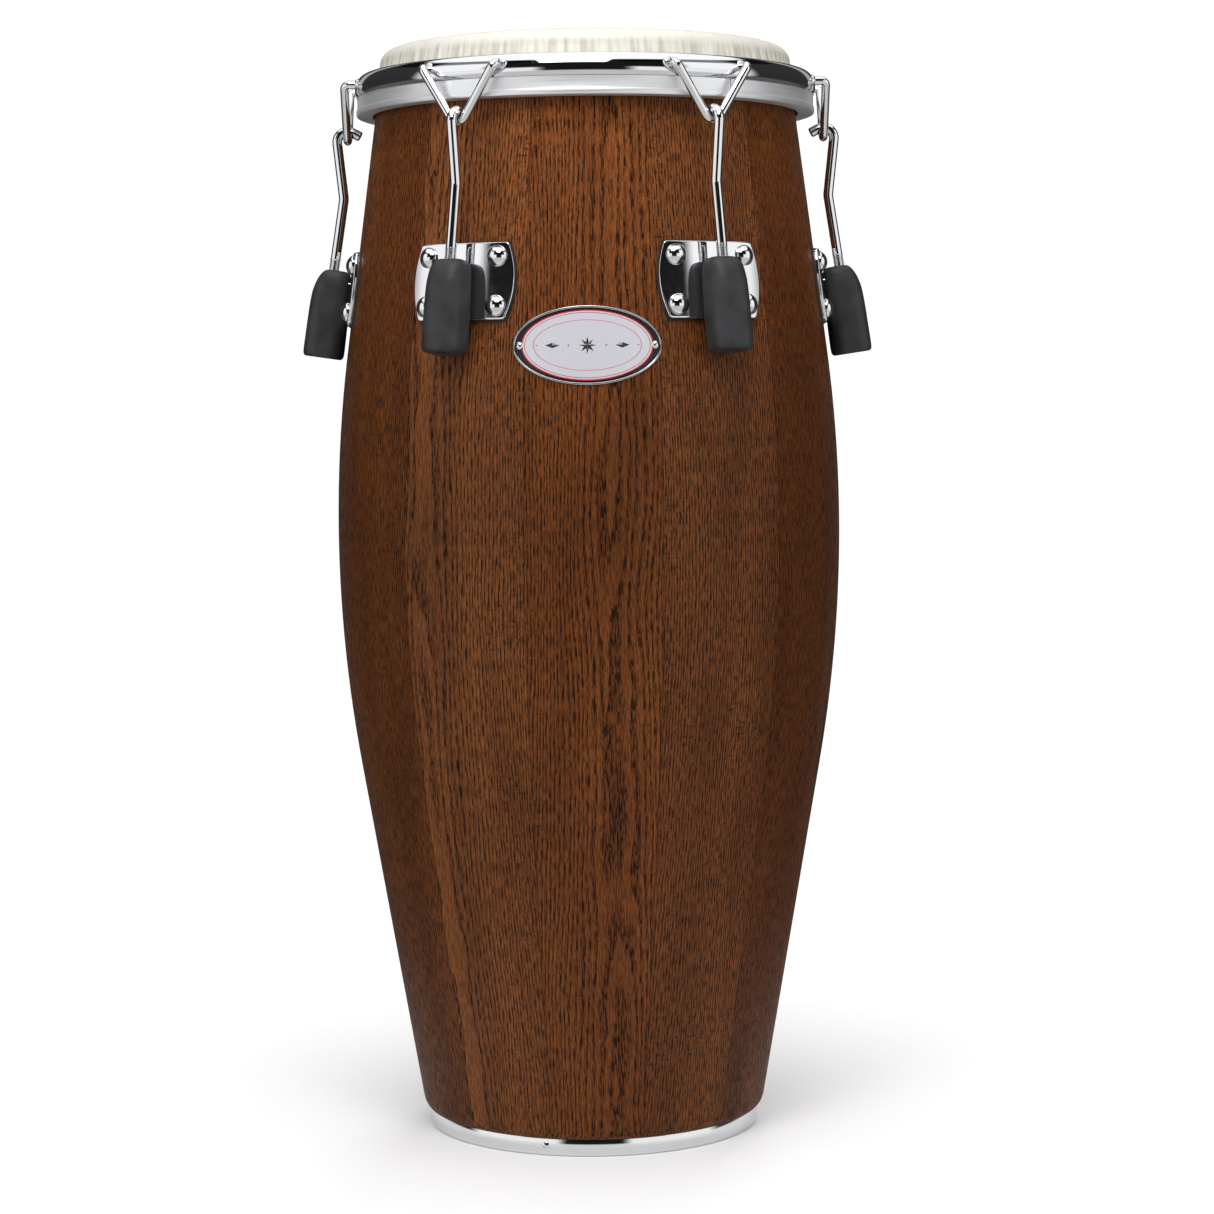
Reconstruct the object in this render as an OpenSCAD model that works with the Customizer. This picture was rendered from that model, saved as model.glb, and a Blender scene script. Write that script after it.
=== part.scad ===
// Conga drum: a barrel-shaped stave shell with a tunable head.
// Frame: origin on the floor in the middle of the foot, +Z up, front towards -Y.

/* [Shell] */
// Height of the staves, from foot to bearing edge
shell_h = 757.5; // [620:0.5:920]
// Outside diameter of the shell at the bearing edge, before its edge is rounded
top_d = 287.2; // [235:0.2:350]
// Largest outside diameter of the shell
belly_d = 356.2; // [325:0.2:440]
// Outside diameter of the shell at floor level, before its foot is rounded
foot_d = 235.3; // [190:0.1:300]
// Height of the largest diameter above the floor
belly_z = 425; // [350:1:515]
// Share of the staves above the belly that is bent, straight beyond it
top_bend = 0.36; // [0.2:0.01:0.9]
// Share of the staves below the belly that is bent, straight beyond it
foot_bend = 0.4; // [0.2:0.01:0.9]
// Thickness of the staves, measured level
wall = 12; // [9:0.5:16]
// Number of staves
stave_count = 12; // [8:1:12]
// Rounding of the bearing edge
edge_r = 10; // [5:0.5:12]
// Height of the rounding above the bottom band
foot_round_h = 8; // [4:0.5:15]

/* [Bottom band] */
// How far the band's outside lies inside the shell's line at the band's top
band_inset = 3.5; // [2:0.1:5]
// Height of the band
band_h = 11.5; // [8:0.5:20]
// Sheet thickness of the band
band_t = 1.2; // [0.8:0.1:2]
// Width of the flange that the shell stands on
band_flange = 4.5; // [3:0.5:8]
// Number of band screws
band_screws = 3; // [2:1:6]

/* [Side plates] */
// Number of tuning stations round the drum
lugs = 6; // [4:1:6]
// Depth of the plate centres below the bearing edge
lug_drop = 169.2; // [135:0.1:210]
// Plate left outside a bolt head at the plate's widest place
plate_edge = 5; // [3:0.5:12]
// Plate left above and below a bolt head
plate_margin = 2.5; // [1.5:0.1:8]
// How far a plate's side bulges out beyond its corners
plate_bulge = 5.5; // [3:0.5:8]
// Thickness of a plate
plate_t = 3; // [2:0.5:4]
// Thickness of the gasket behind a plate
gasket_t = 1; // [0.5:0.1:2]
// How far the gasket shows round the plate
gasket_margin = 0.8; // [0:0.1:2]
// Room between the boot and a bolt head
bolt_room = 5.5; // [2:0.5:10]
// Distance between a plate's bolts up the drum
bolt_dz = 33; // [27:0.5:40]
// Bolt shank diameter
bolt_d = 6; // [5:0.1:7.5]
// Bolt head diameter
bolt_head_d = 14; // [11:0.1:17]
// Height of the bolt's domed head
bolt_head_h = 5; // [3:0.5:6]

/* [Bracket] */
// Height of the bracket along the rod
bracket_h = 15; // [12:0.5:18]
// Wall of the bracket beside its hole
bracket_wall = 2.4; // [2:0.1:4]
// Room round the rod's thread in the bracket's hole, on the diameter
bracket_play = 1.26; // [0.8:0.01:2]

/* [Tuning hook] */
// Plain rod diameter
rod_d = 7.1; // [5.8:0.1:8.6]
// How far the rolled thread stands out from the rod
thread_rise = 0.42; // [0.3:0.01:0.6]
// Lean of the threaded end from the shell's wall, outward going down
rod_splay = 1.31; // [0:0.01:3]
// Height of the kink in the rod above the plate centre
kink_dz = 65.5; // [54:0.5:79]
// Length of thread that shows above the boot
thread_show = 7.5; // [5:0.5:12]
// Room under the rod's lower end in the boot
rod_end_room = 8; // [5:0.5:15]
// Angle that the curl turns past its top
curl_past = 28; // [10:1:60]
// Straight length after the curl
tip_l = 6.5; // [3:0.5:10]

/* [Tuning nut] */
// Wall of the nut at its flats
nut_wall = 2.38; // [1.9:0.01:3]
// Nut height
nut_h = 10; // [6:0.5:12]
// How far the washer shows round the nut's corners
washer_margin = 0.42; // [0.2:0.01:1.5]
// Washer thickness
washer_t = 1.6; // [1:0.1:2.5]

/* [Rubber boot] */
// Rubber beside the boot's hollow, on each side
boot_side_wall = 5.5; // [4:0.5:9]
// Rubber in front of and behind the boot's hollow
boot_face_wall = 5.1; // [4:0.05:9]
// Room between the middle of a boot's back and the shell
boot_gap = 4; // [3:0.05:8]
// Height of a boot
boot_h = 63; // [52:0.5:76]
// Rubber above the bracket
boot_cap = 7.5; // [5:0.5:12]
// Width of the slope cut from the boot's outer top edge
boot_cut = 5; // [2:0.5:8]
// Rounding of the boot's upright edges
boot_r = 11; // [3:0.5:12]
// Room round the washer in the boot's hollow
boot_room = 0.75; // [0.3:0.05:2]

/* [Rim] */
// Height of the rim
rim_h = 15.6; // [12:0.2:20]
// Width of the rim's section, inside to outside
rim_w = 10; // [8:0.5:12]
// Wall of the rim's hollow section
rim_t = 2; // [1.5:0.1:3]
// Rod diameter of the V-loops
loop_d = 6; // [5:0.1:7.2]
// Distance of the V-loops' middle outside the rim
loop_stand = 5.7; // [5:0.1:10]
// Distance between a V-loop's two upper bends
loop_w = 56.8; // [47:0.2:69]
// Height of a V-loop's bottom below the rim's underside
loop_drop = 32; // [26:0.5:39]
// Gap between hook and V-loop at the top of the curl
hook_gap = 0.35; // [0.3:0.01:0.6]
// Radius left free round the V-loop inside the curl
curl_free = 1; // [0.9:0.1:2]

/* [Flesh hoop] */
// Room between shell and hoop where the rim is pulled down furthest
hoop_room = 1.04; // [0.5:0.01:3]
// Wall between the hoop's bore and its groove
groove_wall = 1.5; // [1:0.1:3]
// How far the hoop's lip lies inside the rim's outside
hoop_inset = 1; // [0:0.1:3]
// Height of the hoop
hoop_h = 13; // [10:0.5:16]
// Height of the lip at the hoop's lower edge
lip_h = 4; // [2:0.5:6]
// Step between lip and face
lip_t = 0.8; // [0.4:0.1:2]

/* [Drumhead] */
// Thickness of the film
film_t = 0.45; // [0.3:0.05:0.8]
// Depth of the rim's underside below the playing surface
rim_drop = 33.9; // [28:0.1:41]
// How far the head's shoulder reaches down past the rounded edge
shoulder_over = 0.5; // [0:0.1:3]
// Level room between shell and film at the bottom of the shoulder
shoulder_gap = 0.8; // [0.5:0.1:1.2]

/* [Badge] */
// Width of the oval badge
badge_w = 98; // [78:1:118]
// Height of the oval badge
badge_h = 53; // [40:1:70]
// Thickness of the badge
badge_t = 1.2; // [0.8:0.1:2]
// Depth of the badge's centre below the plate centres
badge_drop = 43; // [36:0.5:90]
// Distance of a badge nail from the badge's end
badge_nail_edge = 4.5; // [3.5:0.1:10]

/* [Hidden] */
$fn = 96;
eps = 0.01;
seam_angle = -14;              // first stave joint, from the front
front = -90;
band_lap = 13.4 + 90;          // one band screw, from the front
near_gap = 0.3;                // room between parts that turn or slide past each other
running = 0.05;                // radial room of a running fit
bolt_play = 0.5;               // hole over bolt, on the diameter
seat_gap = 0.03;               // paint film under gaskets and badge
washer_seat = 0.6;             // depth of the spot face inside the shell
inner_washer_d = bolt_d + 8;
inner_washer_t = 1.2;
inner_nut_af = bolt_d + 4;
inner_nut_h = 5;
screw_d = 2.5;
screw_head_d = 5.6;
screw_cover = 1;                // wood left past a band screw's point
nail_d = 1.5;
nail_head_d = 5;
nail_cover = 4;                 // wood left past a badge nail's point
boot_hole_play = 1.66;         // hole at the boot's lower end over the thread
boot_lip = 4;                  // rubber left at the boot's lower end
boot_flare = 3.4;              // lean of the boot's inner face across its height
slot_play = 0.5;               // bracket in the boot's slot
arc_steps = 10;
kink_r = 14;                   // bend radius of the kink, at the rod's middle
loop_bend = 4;                 // bend radius of the V-loops' upper bends
bend_swell = 0.04;             // a bend is this much thicker than its bar
bend_sink = 0.3;               // a bar runs this far into its bends
stub_rise = 0.6;               // rise of the V-loop stub above the middle of the rim
film_slot = 1.2;               // width of the groove in the flesh hoop
film_in_hoop = 8;              // depth of the film in the groove
tune_down = 4;                 // travel of the rim from rest, down
rim_crown = 0.72;              // place of the rim's crown across its width, from outside
rim_waist = 0.26;              // place of the rim's widest line in its height
rim_hollow = 0.4;              // how far the rim's inner side falls from its crown
collar_bow = 0.45;             // place of the collar's knee between shoulder and hoop

top_z = band_t + shell_h;
lug_step = 360 / lugs;
lug_z = top_z - lug_drop;
badge_z = lug_z - badge_drop;
badge_nail_dx = badge_w - 2 * badge_nail_edge;
rim_z = top_z + film_t - rim_drop;
hoop_z = rim_z - hoop_h;

// Share of the whole drop in radius, t of the way from the belly to the end
function bend_share(t, b) = t < b ? t * t / (b * (2 - b)) : (2 * t - b) / (2 - b);
function r_out(z) = z > belly_z
    ? belly_d / 2 - (belly_d - top_d) / 2 * bend_share((z - belly_z) / (top_z - belly_z), top_bend)
    : belly_d / 2 - (belly_d - foot_d) / 2 * bend_share((belly_z - z) / belly_z, foot_bend);
function r_in(z) = r_out(z) - wall;
// Lean of the wall from upright, inward going up
function lean(z) = atan2(r_out(z - 1) - r_out(z + 1), 2);

bend_lo = belly_z * (1 - foot_bend);
bend_hi = belly_z + (top_z - belly_z) * top_bend;
bend_heights = [for (k = [0:arc_steps]) bend_lo + (bend_hi - bend_lo) * k / arc_steps];

band_r = r_out(band_h) - band_inset;
seat_r = band_r - band_t;
screw_l = band_r - r_in(band_h / 2) - screw_cover;
nail_l = wall - nail_cover;
round_z = band_h + foot_round_h;
edge = min(edge_r, wall - 1.5);
crest_z = top_z - edge;

// Outline of a stave, cut through the drum's axis
foot_points = [for (a = [90:-15:0])
    let (z = band_h + foot_round_h * (1 - sin(a)))
    [r_out(z) - (r_out(band_h) - band_r) * (1 - cos(a)), z]];
edge_points = [for (a = [0:15:90])
    [r_out(crest_z) - edge * (1 - cos(a)), crest_z + edge * sin(a)]];
stave_outline = concat(
    [[seat_r, band_t], [seat_r, band_h]],
    foot_points,
    [for (z = bend_heights) [r_out(z), z]],
    edge_points,
    [[r_in(top_z) + 1, top_z], [r_in(top_z - 1), top_z - 1]],
    [for (k = [arc_steps:-1:0]) [r_in(bend_heights[k]), bend_heights[k]]],
    [[r_in(round_z), round_z], [r_in(band_t), band_t]]);

// Angle round the drum that a level distance takes at a height
function turn(dx, z) = asin(dx / r_out(z));
function lug_angle(i) = lug_step * (i - 1);

// Everything on the rod follows its thread, and the plate follows the boot and the bolts
rod_lean = lean(lug_z) + rod_splay;
thread_d = rod_d + 2 * thread_rise;
bracket_bore = thread_d + bracket_play;
bracket_w = bracket_bore + 2 * bracket_wall;
nut_af = thread_d + 2 * nut_wall;
washer_d = nut_af / cos(30) + 2 * washer_margin;
boot_bore = washer_d + 2 * boot_room;
boot_w = boot_bore + 2 * boot_side_wall;
boot_depth = boot_bore + 2 * boot_face_wall;
boot_hole = thread_d + boot_hole_play;
boot_top_dz = bracket_h / 2 + boot_cap;
rod_offset = boot_depth / 2 + boot_gap;
thread_top_dz = boot_top_dz + thread_show;
rod_end_dz = boot_h - boot_top_dz - rod_end_room;
bolt_dx = boot_w + 2 * bolt_room + bolt_head_d;
plate_w = bolt_dx + bolt_head_d + 2 * plate_edge;
plate_h = bolt_dz + bolt_head_d + 2 * plate_margin;

// The hoop clears the shell at its lowest place, and the rim and the V-loops follow the hoop
hoop_bore = 2 * (r_out(hoop_z - tune_down) + hoop_room);
groove_r = hoop_bore / 2 + groove_wall;
rim_d = 2 * (groove_r + film_slot + near_gap + rim_w);
lip_r = rim_d / 2 - hoop_inset;
loop_r = rim_d / 2 + loop_stand;
// The V's bottom bend runs round the hook with the same gap all the way
loop_low_r = rod_d / 2 + loop_d / 2 + hook_gap;

// Puts children on the shell, with +Z outward, +X down the wall and +Y round the drum
module on_wall(angle, z)
    rotate([0, 0, angle])
        translate([r_out(z), 0, z])
            rotate([0, 90 - lean(z), 0])
                children();

// Sheet that follows the outside of the shell, between two distances from it
module wall_sheet(angle, z, half_angle, half_h, inner, outer) {
    lo = z - half_h;
    hi = z + half_h;
    heights = concat([lo], [for (h = bend_heights) if (h > lo && h < hi) h], [hi]);
    last = len(heights) - 1;
    rotate([0, 0, angle - half_angle])
        rotate_extrude(angle = 2 * half_angle, $fn = 360)
            polygon(concat(
                [for (h = heights) [r_out(h) + inner, h]],
                [for (k = [last:-1:0]) [r_out(heights[k]) + outer, heights[k]]]));
}

module on_bolts(i) {
    for (side = [-1, 1])
        for (row = [-1, 1])
            on_wall(lug_angle(i) + side * turn(bolt_dx / 2, lug_z), lug_z + row * bolt_dz / 2)
                children();
}

module on_band_screws() {
    for (k = [0:band_screws - 1])
        rotate([0, 0, front + band_lap + k * 360 / band_screws])
            translate([band_r, 0, band_h / 2 + band_t / 2])
                rotate([0, 90, 0])
                    children();
}

module on_nails() {
    for (side = [-1, 1])
        on_wall(front + side * turn(badge_nail_dx / 2, badge_z), badge_z)
            children();
}

// Round bar between two points of the plane through the drum's axis, run on past its ends
module bar(p, q, d, past = [0, 0])
    translate([p[0], 0, p[1]])
        rotate([0, atan2(q[0] - p[0], q[1] - p[1]), 0])
            translate([0, 0, -past[0]])
                cylinder(h = norm(q - p) + past[0] + past[1], d = d, $fn = 48);

// ---- shell ----

module stave(k) {
    step = 360 / stave_count;
    color("saddlebrown")
        difference() {
            rotate([0, 0, front + seam_angle + k * step])
                rotate_extrude(angle = step, $fn = 360)
                    polygon(stave_outline);
            for (i = [1:lugs])
                on_bolts(i) {
                    translate([0, 0, -2 * wall])
                        cylinder(h = 3 * wall, d = bolt_d + bolt_play);
                    translate([0, 0, -2 * wall])
                        cylinder(h = wall + washer_seat + wall * (1 - cos(lean(lug_z))),
                            d = inner_washer_d + 2);
                }
            on_band_screws()
                translate([0, 0, -screw_l])
                    cylinder(h = 2 * screw_l, d = screw_d);
            on_nails()
                translate([0, 0, -nail_l])
                    cylinder(h = 2 * nail_l, d = nail_d);
        }
}

module bottom_band() {
    color("gainsboro")
        difference() {
            rotate_extrude($fn = 360)
                polygon([
                    [band_r - band_flange, 0], [band_r, 0], [band_r, band_h],
                    [seat_r, band_h], [seat_r, band_t], [band_r - band_flange, band_t]]);
            on_band_screws()
                translate([0, 0, -screw_l])
                    cylinder(h = 2 * screw_l, d = screw_d + bolt_play);
        }
}

module band_screw_set() {
    color("silver")
        on_band_screws() {
            translate([0, 0, -screw_l])
                cylinder(h = screw_l + eps, d = screw_d);
            dome(screw_head_d, 1.4, 0.4);
        }
}

// Domed head that stands on the XY plane
module dome(d, h, edge) {
    cap = h - edge;
    r = (d * d / 4 + cap * cap) / (2 * cap);
    cylinder(h = edge, d = d);
    translate([0, 0, edge])
        intersection() {
            cylinder(h = cap, d = d);
            translate([0, 0, cap - r])
                sphere(r = r);
        }
}

// ---- side plates ----

module plate_outline(grow) {
    sag = plate_bulge;
    r = (pow(plate_h / 2, 2) + sag * sag) / (2 * sag);
    intersection() {
        square([plate_h + 2 * grow, plate_w + 2 * grow], center = true);
        translate([0, r - plate_w / 2])
            circle(r = r + grow, $fn = 180);
        translate([0, plate_w / 2 - r])
            circle(r = r + grow, $fn = 180);
    }
}

module plate_sheet(i, grow, inner, outer) {
    intersection() {
        wall_sheet(lug_angle(i), lug_z, turn(plate_w / 2 + 5, lug_z), plate_h / 2 + 6, inner, outer);
        on_wall(lug_angle(i), lug_z)
            translate([0, 0, -wall])
                linear_extrude(3 * wall)
                    plate_outline(grow);
    }
}

module bolt_holes(i)
    on_bolts(i)
        translate([0, 0, -wall])
            cylinder(h = 3 * wall, d = bolt_d + bolt_play);

rod_r0 = r_out(lug_z) + rod_offset;

// Puts children on the rod's axis at the height of the plate centre, +Z up the rod
module on_rod(i)
    rotate([0, 0, lug_angle(i)])
        translate([rod_r0, 0, lug_z])
            rotate([0, -rod_lean, 0])
                children();

module bracket(i) {
    reach = rod_offset - gasket_t - plate_t / 2;
    on_rod(i)
        difference() {
            union() {
                translate([-reach, -bracket_w / 2, -bracket_h / 2])
                    cube([reach, bracket_w, bracket_h]);
                translate([0, 0, -bracket_h / 2])
                    cylinder(h = bracket_h, d = bracket_w);
            }
            translate([0, 0, -bracket_h])
                cylinder(h = 2 * bracket_h, d = bracket_bore);
        }
}

module side_plate(i) {
    color("gainsboro") {
        difference() {
            plate_sheet(i, 0, gasket_t + seat_gap, gasket_t + plate_t);
            bolt_holes(i);
        }
        bracket(i);
    }
}

module plate_gasket(i) {
    color([0.08, 0.08, 0.08])
        difference() {
            plate_sheet(i, gasket_margin, seat_gap, gasket_t);
            bolt_holes(i);
        }
}

bolt_seat = gasket_t + plate_t + seat_gap;
inner_seat = wall * cos(lean(lug_z)) - washer_seat;
bolt_l = inner_seat + inner_washer_t + inner_nut_h + 2;

module plate_bolts() {
    color("silver")
        for (i = [1:lugs])
            on_bolts(i) {
                translate([0, 0, bolt_seat])
                    dome(bolt_head_d, bolt_head_h, 1.2);
                translate([0, 0, -bolt_l])
                    cylinder(h = bolt_l + bolt_seat + eps, d = bolt_d);
            }
}

module bolt_washers() {
    color("silver")
        for (i = [1:lugs])
            on_bolts(i)
                translate([0, 0, -inner_seat - inner_washer_t])
                    ring(inner_washer_d, bolt_d + bolt_play, inner_washer_t);
}

module bolt_nuts() {
    color("silver")
        for (i = [1:lugs])
            on_bolts(i)
                translate([0, 0, -inner_seat - inner_washer_t - inner_nut_h])
                    hex_nut(inner_nut_af, bolt_d + 2 * running, inner_nut_h);
}

module ring(d, bore, h)
    difference() {
        cylinder(h = h, d = d);
        translate([0, 0, -h])
            cylinder(h = 3 * h, d = bore);
    }

module hex_nut(af, bore, h)
    difference() {
        cylinder(h = h, d = af / cos(30), $fn = 6);
        translate([0, 0, -h])
            cylinder(h = 3 * h, d = bore);
    }

// ---- tuning hook, nut and boot ----

// Point of the rod's axis, a height above the plate centre
function on_axis(dz) = [rod_r0 - dz * tan(rod_lean), lug_z + dz];

loop_z = rim_z - loop_drop + loop_d / 2;
curl_r = loop_d / 2 + curl_free + rod_d / 2;
curl_c = [loop_r, loop_z - curl_free + hook_gap];
kink = on_axis(kink_dz);
to_kink = kink - curl_c;
// Angle of the curl's outer end, where the leg leaves it without a corner
curl_start = atan2(to_kink[1], to_kink[0]) + acos(curl_r / norm(to_kink));
curl_turn = 90 + curl_past - curl_start;
leg_lean = -curl_start;        // lean of the leg above the kink, outward going up
kink_run = kink_r * tan((rod_lean + leg_lean) / 2);
rod_up = [-sin(rod_lean), cos(rod_lean)];
leg_up = [sin(leg_lean), cos(leg_lean)];
function on_curl(a) = curl_c + curl_r * [cos(a), sin(a)];
tip = on_curl(curl_start + curl_turn);
tip_end = tip - tip_l * [cos(curl_past), sin(curl_past)];

// Round bar bent in the plane through the drum's axis, from one angle on to the next
module bend(c, r, from, turn, d)
    translate([c[0], 0, c[1]])
        rotate([90, 0, 0])
            rotate([0, 0, from])
                rotate_extrude(angle = turn, $fn = 96)
                    translate([r, 0])
                        circle(d = d + bend_swell, $fn = 48);

module tuning_hook(i) {
    kink_c = kink - kink_run * rod_up + kink_r * [cos(rod_lean), sin(rod_lean)];
    color("whitesmoke")
        rotate([0, 0, lug_angle(i)]) {
            bar(on_axis(-rod_end_dz), on_axis(thread_top_dz), thread_d);
            bar(on_axis(thread_top_dz), kink - kink_run * rod_up, rod_d, [1, bend_sink]);
            bend(kink_c, kink_r, 180 - leg_lean, rod_lean + leg_lean, rod_d);
            bar(kink + kink_run * leg_up, on_curl(curl_start), rod_d, [bend_sink, bend_sink]);
            bend(curl_c, curl_r, curl_start, curl_turn, rod_d);
            bar(tip, tip_end, rod_d, [bend_sink, 0]);
        }
}

washer_z = -bracket_h / 2;
nut_z = washer_z - washer_t - near_gap;

module nut_washers() {
    color("silver")
        for (i = [1:lugs])
            on_rod(i)
                translate([0, 0, washer_z - washer_t])
                    ring(washer_d, thread_d + 2 * near_gap, washer_t);
}

module tuning_nut(i) {
    color("silver")
        on_rod(i)
            translate([0, 0, nut_z - nut_h])
                hex_nut(nut_af, thread_d + 2 * running, nut_h);
}

// Side of the boot in the rod's frame: x away from the drum, y up the rod
module boot_side() {
    inner = -boot_depth / 2;
    outer = boot_depth / 2;
    hi = boot_top_dz;
    lo = boot_top_dz - boot_h;
    polygon([
        [inner - boot_flare / 2 + 2, lo], [inner - boot_flare / 2, lo + 3],
        [inner + boot_flare / 2, hi - 1.5], [inner + boot_flare / 2 + 1.5, hi],
        [outer - boot_cut - 1.5, hi], [outer - boot_cut + 1, hi - 1.5],
        [outer - 1.2, hi - boot_cut * 3], [outer, lo + boot_h * 0.4],
        [outer, lo + 3], [outer - 2, lo]]);
}

module boot_plan() {
    x = (boot_depth + boot_flare) / 2 - boot_r;
    y = boot_w / 2 - boot_r;
    square([2 * x + 2 * boot_r, 2 * y], center = true);
    square([2 * x, 2 * y + 2 * boot_r], center = true);
    for (sx = [-1, 1])
        for (sy = [-1, 1])
            translate([sx * x, sy * y])
                circle(r = boot_r);
}

module rubber_boot(i) {
    lo = boot_top_dz - boot_h;
    slot_h = bracket_h + 2 * slot_play;
    slot_w = bracket_w + 2 * slot_play;
    color([0.12, 0.12, 0.13])
        on_rod(i)
            difference() {
                intersection() {
                    translate([0, boot_w, 0])
                        rotate([90, 0, 0])
                            linear_extrude(2 * boot_w)
                                boot_side();
                    translate([0, 0, lo])
                        linear_extrude(boot_h)
                            boot_plan();
                }
                translate([0, 0, lo + boot_lip])
                    cylinder(h = bracket_h / 2 + slot_play - lo - boot_lip, d = boot_bore);
                translate([-boot_depth, -slot_w / 2, -slot_h / 2])
                    cube([boot_depth, slot_w, slot_h]);
                translate([0, 0, -boot_h])
                    cylinder(h = 2 * boot_h, d = thread_d + 2 * near_gap);
                translate([0, 0, lo - 1])
                    cylinder(h = boot_lip + 2, d = boot_hole);
            }
}

// ---- rim, V-loops and flesh hoop ----

// Teardrop section of the rim, drawn in by the wall thickness for its hollow
function rim_points(t) =
    let (
        r = rim_d / 2 - t,
        lo = rim_z + t,
        crown_r = rim_d / 2 - rim_w * rim_crown,
        mid_z = rim_z + rim_h * rim_waist,
        a = r - crown_r,
        b = rim_h * (1 - rim_waist) - t,
        inner = rim_d / 2 - rim_w + t)
    concat(
        [[inner, lo], [r - a * 0.2, lo]],
        [for (k = [-15:15:90]) [crown_r + a * cos(k), mid_z + b * sin(k) * (k < 0 ? 0.6 : 1)]],
        [for (k = [105:15:180]) [crown_r + (crown_r - inner) * cos(k), mid_z + b * (1 - rim_hollow + rim_hollow * sin(k))]]);

module rim() {
    color("gainsboro")
        rotate_extrude($fn = 360)
            difference() {
                polygon(rim_points(0));
                polygon(rim_points(rim_t));
            }
}

stub_z = rim_z + rim_h / 2 + stub_rise;
loop_half = loop_w / 2;
loop_c = loop_z + loop_low_r;
loop_rise = stub_z - loop_c;
loop_reach = norm([loop_half, loop_rise]);
// Lean of a leg of the V, which leaves the bottom bend without a corner
loop_lean = atan2(loop_half, loop_rise) - asin(loop_low_r / loop_reach);
loop_leg = sqrt(loop_reach * loop_reach - loop_low_r * loop_low_r) - loop_bend;
stub_l = loop_r - loop_bend - sqrt(pow(rim_d / 2 - rim_w / 2, 2) - loop_half * loop_half);

// Leg, upper bend and stub on one side of a V-loop
module loop_side(side)
    translate([0, side * loop_half, stub_z]) {
        rotate([-side * loop_lean, 0, 0]) {
            translate([0, 0, -loop_bend - loop_leg - bend_sink])
                cylinder(h = loop_leg + 2 * bend_sink, d = loop_d, $fn = 48);
            bend([-loop_bend, -loop_bend], loop_bend, 0, 90, loop_d);
        }
        translate([bend_sink - loop_bend, 0, 0])
            rotate([0, -90, 0])
                cylinder(h = stub_l + bend_sink, d = loop_d, $fn = 48);
    }

module v_loop(i) {
    color("whitesmoke")
        difference() {
            rotate([0, 0, lug_angle(i)])
                translate([loop_r, 0, 0]) {
                    loop_side(-1);
                    loop_side(1);
                    translate([0, 0, loop_c])
                        rotate([0, 90, 0])
                            rotate([0, 0, -90 + loop_lean])
                                rotate_extrude(angle = 180 - 2 * loop_lean, $fn = 96)
                                    translate([loop_low_r, 0])
                                        circle(d = loop_d + bend_swell, $fn = 48);
                }
            rotate_extrude($fn = 360)
                polygon(rim_points(0));
        }
}

module flesh_hoop() {
    color("silver")
        rotate_extrude($fn = 360)
            difference() {
                polygon([
                    [hoop_bore / 2, hoop_z], [lip_r, hoop_z], [lip_r, hoop_z + lip_h],
                    [lip_r - lip_t, hoop_z + lip_h + lip_t], [lip_r - lip_t, rim_z],
                    [hoop_bore / 2, rim_z]]);
                translate([groove_r, rim_z - film_in_hoop])
                    square([film_slot, 2 * film_in_hoop]);
            }
}

// ---- drumhead ----

shoulder_h = edge + shoulder_over;
shoulder_r = r_out(crest_z) - edge;
shoulder_w = edge + shoulder_gap;
shoulder_z = top_z - shoulder_h;
shoulder_end_r = shoulder_r + shoulder_w;

module drumhead() {
    color("ivory")
        rotate_extrude($fn = 360)
            polygon(concat(
                [[0, top_z]],
                [for (a = [90:-10:0])
                    [shoulder_r + shoulder_w * cos(a), shoulder_z + shoulder_h * sin(a)]],
                [for (a = [0:10:90])
                    [shoulder_r + (shoulder_w + film_t) * cos(a),
                        shoulder_z + (shoulder_h + film_t) * sin(a)]],
                [[0, top_z + film_t]]));
}

module drumhead_collar() {
    in_r = groove_r + (film_slot - film_t) / 2;
    low = rim_z - film_in_hoop + near_gap;
    bow = [shoulder_end_r + collar_bow * (in_r - shoulder_end_r), rim_z + collar_bow * (shoulder_z - rim_z)];
    color("ivory")
        rotate_extrude($fn = 360)
            polygon([
                [in_r, low], [in_r, rim_z - 1], bow, [shoulder_end_r, shoulder_z],
                [shoulder_end_r + film_t, shoulder_z], bow + [film_t, 0],
                [in_r + film_t, rim_z - 1], [in_r + film_t, low]]);
}

// ---- badge ----

module badge() {
    color("silver")
        difference() {
            intersection() {
                wall_sheet(front, badge_z, turn(badge_w / 2 + 3, badge_z), badge_h / 2 + 3,
                    5 * seat_gap, badge_t);
                on_wall(front, badge_z)
                    translate([0, 0, -wall])
                        linear_extrude(3 * wall)
                            scale([badge_h / badge_w, 1])
                                circle(d = badge_w, $fn = 120);
            }
            on_nails()
                translate([0, 0, -nail_l])
                    cylinder(h = 2 * nail_l, d = nail_d + bolt_play);
        }
}

module badge_nails() {
    color("silver")
        on_nails() {
            translate([0, 0, -nail_l])
                cylinder(h = nail_l + badge_t + seat_gap + eps, d = nail_d);
            translate([0, 0, badge_t + seat_gap])
                dome(nail_head_d, 1.5, 0.3);
        }
}

numbered = ["side_plate", "plate_gasket", "rubber_boot", "tuning_hook", "tuning_nut", "v_loop"];

for (k = [1:stave_count])
    stave(k - 1);
bottom_band();
band_screw_set();  // band_screws
plate_bolts();
bolt_washers();
bolt_nuts();
nut_washers();
badge();
badge_nails();
rim();
flesh_hoop();
drumhead();
drumhead_collar();
for (i = [1:lugs]) {
    side_plate(i);
    plate_gasket(i);
    rubber_boot(i);
    tuning_hook(i);
    tuning_nut(i);
    v_loop(i);
}
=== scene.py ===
import math
import random

import bmesh
import bpy
from mathutils import Matrix, Vector


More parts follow.
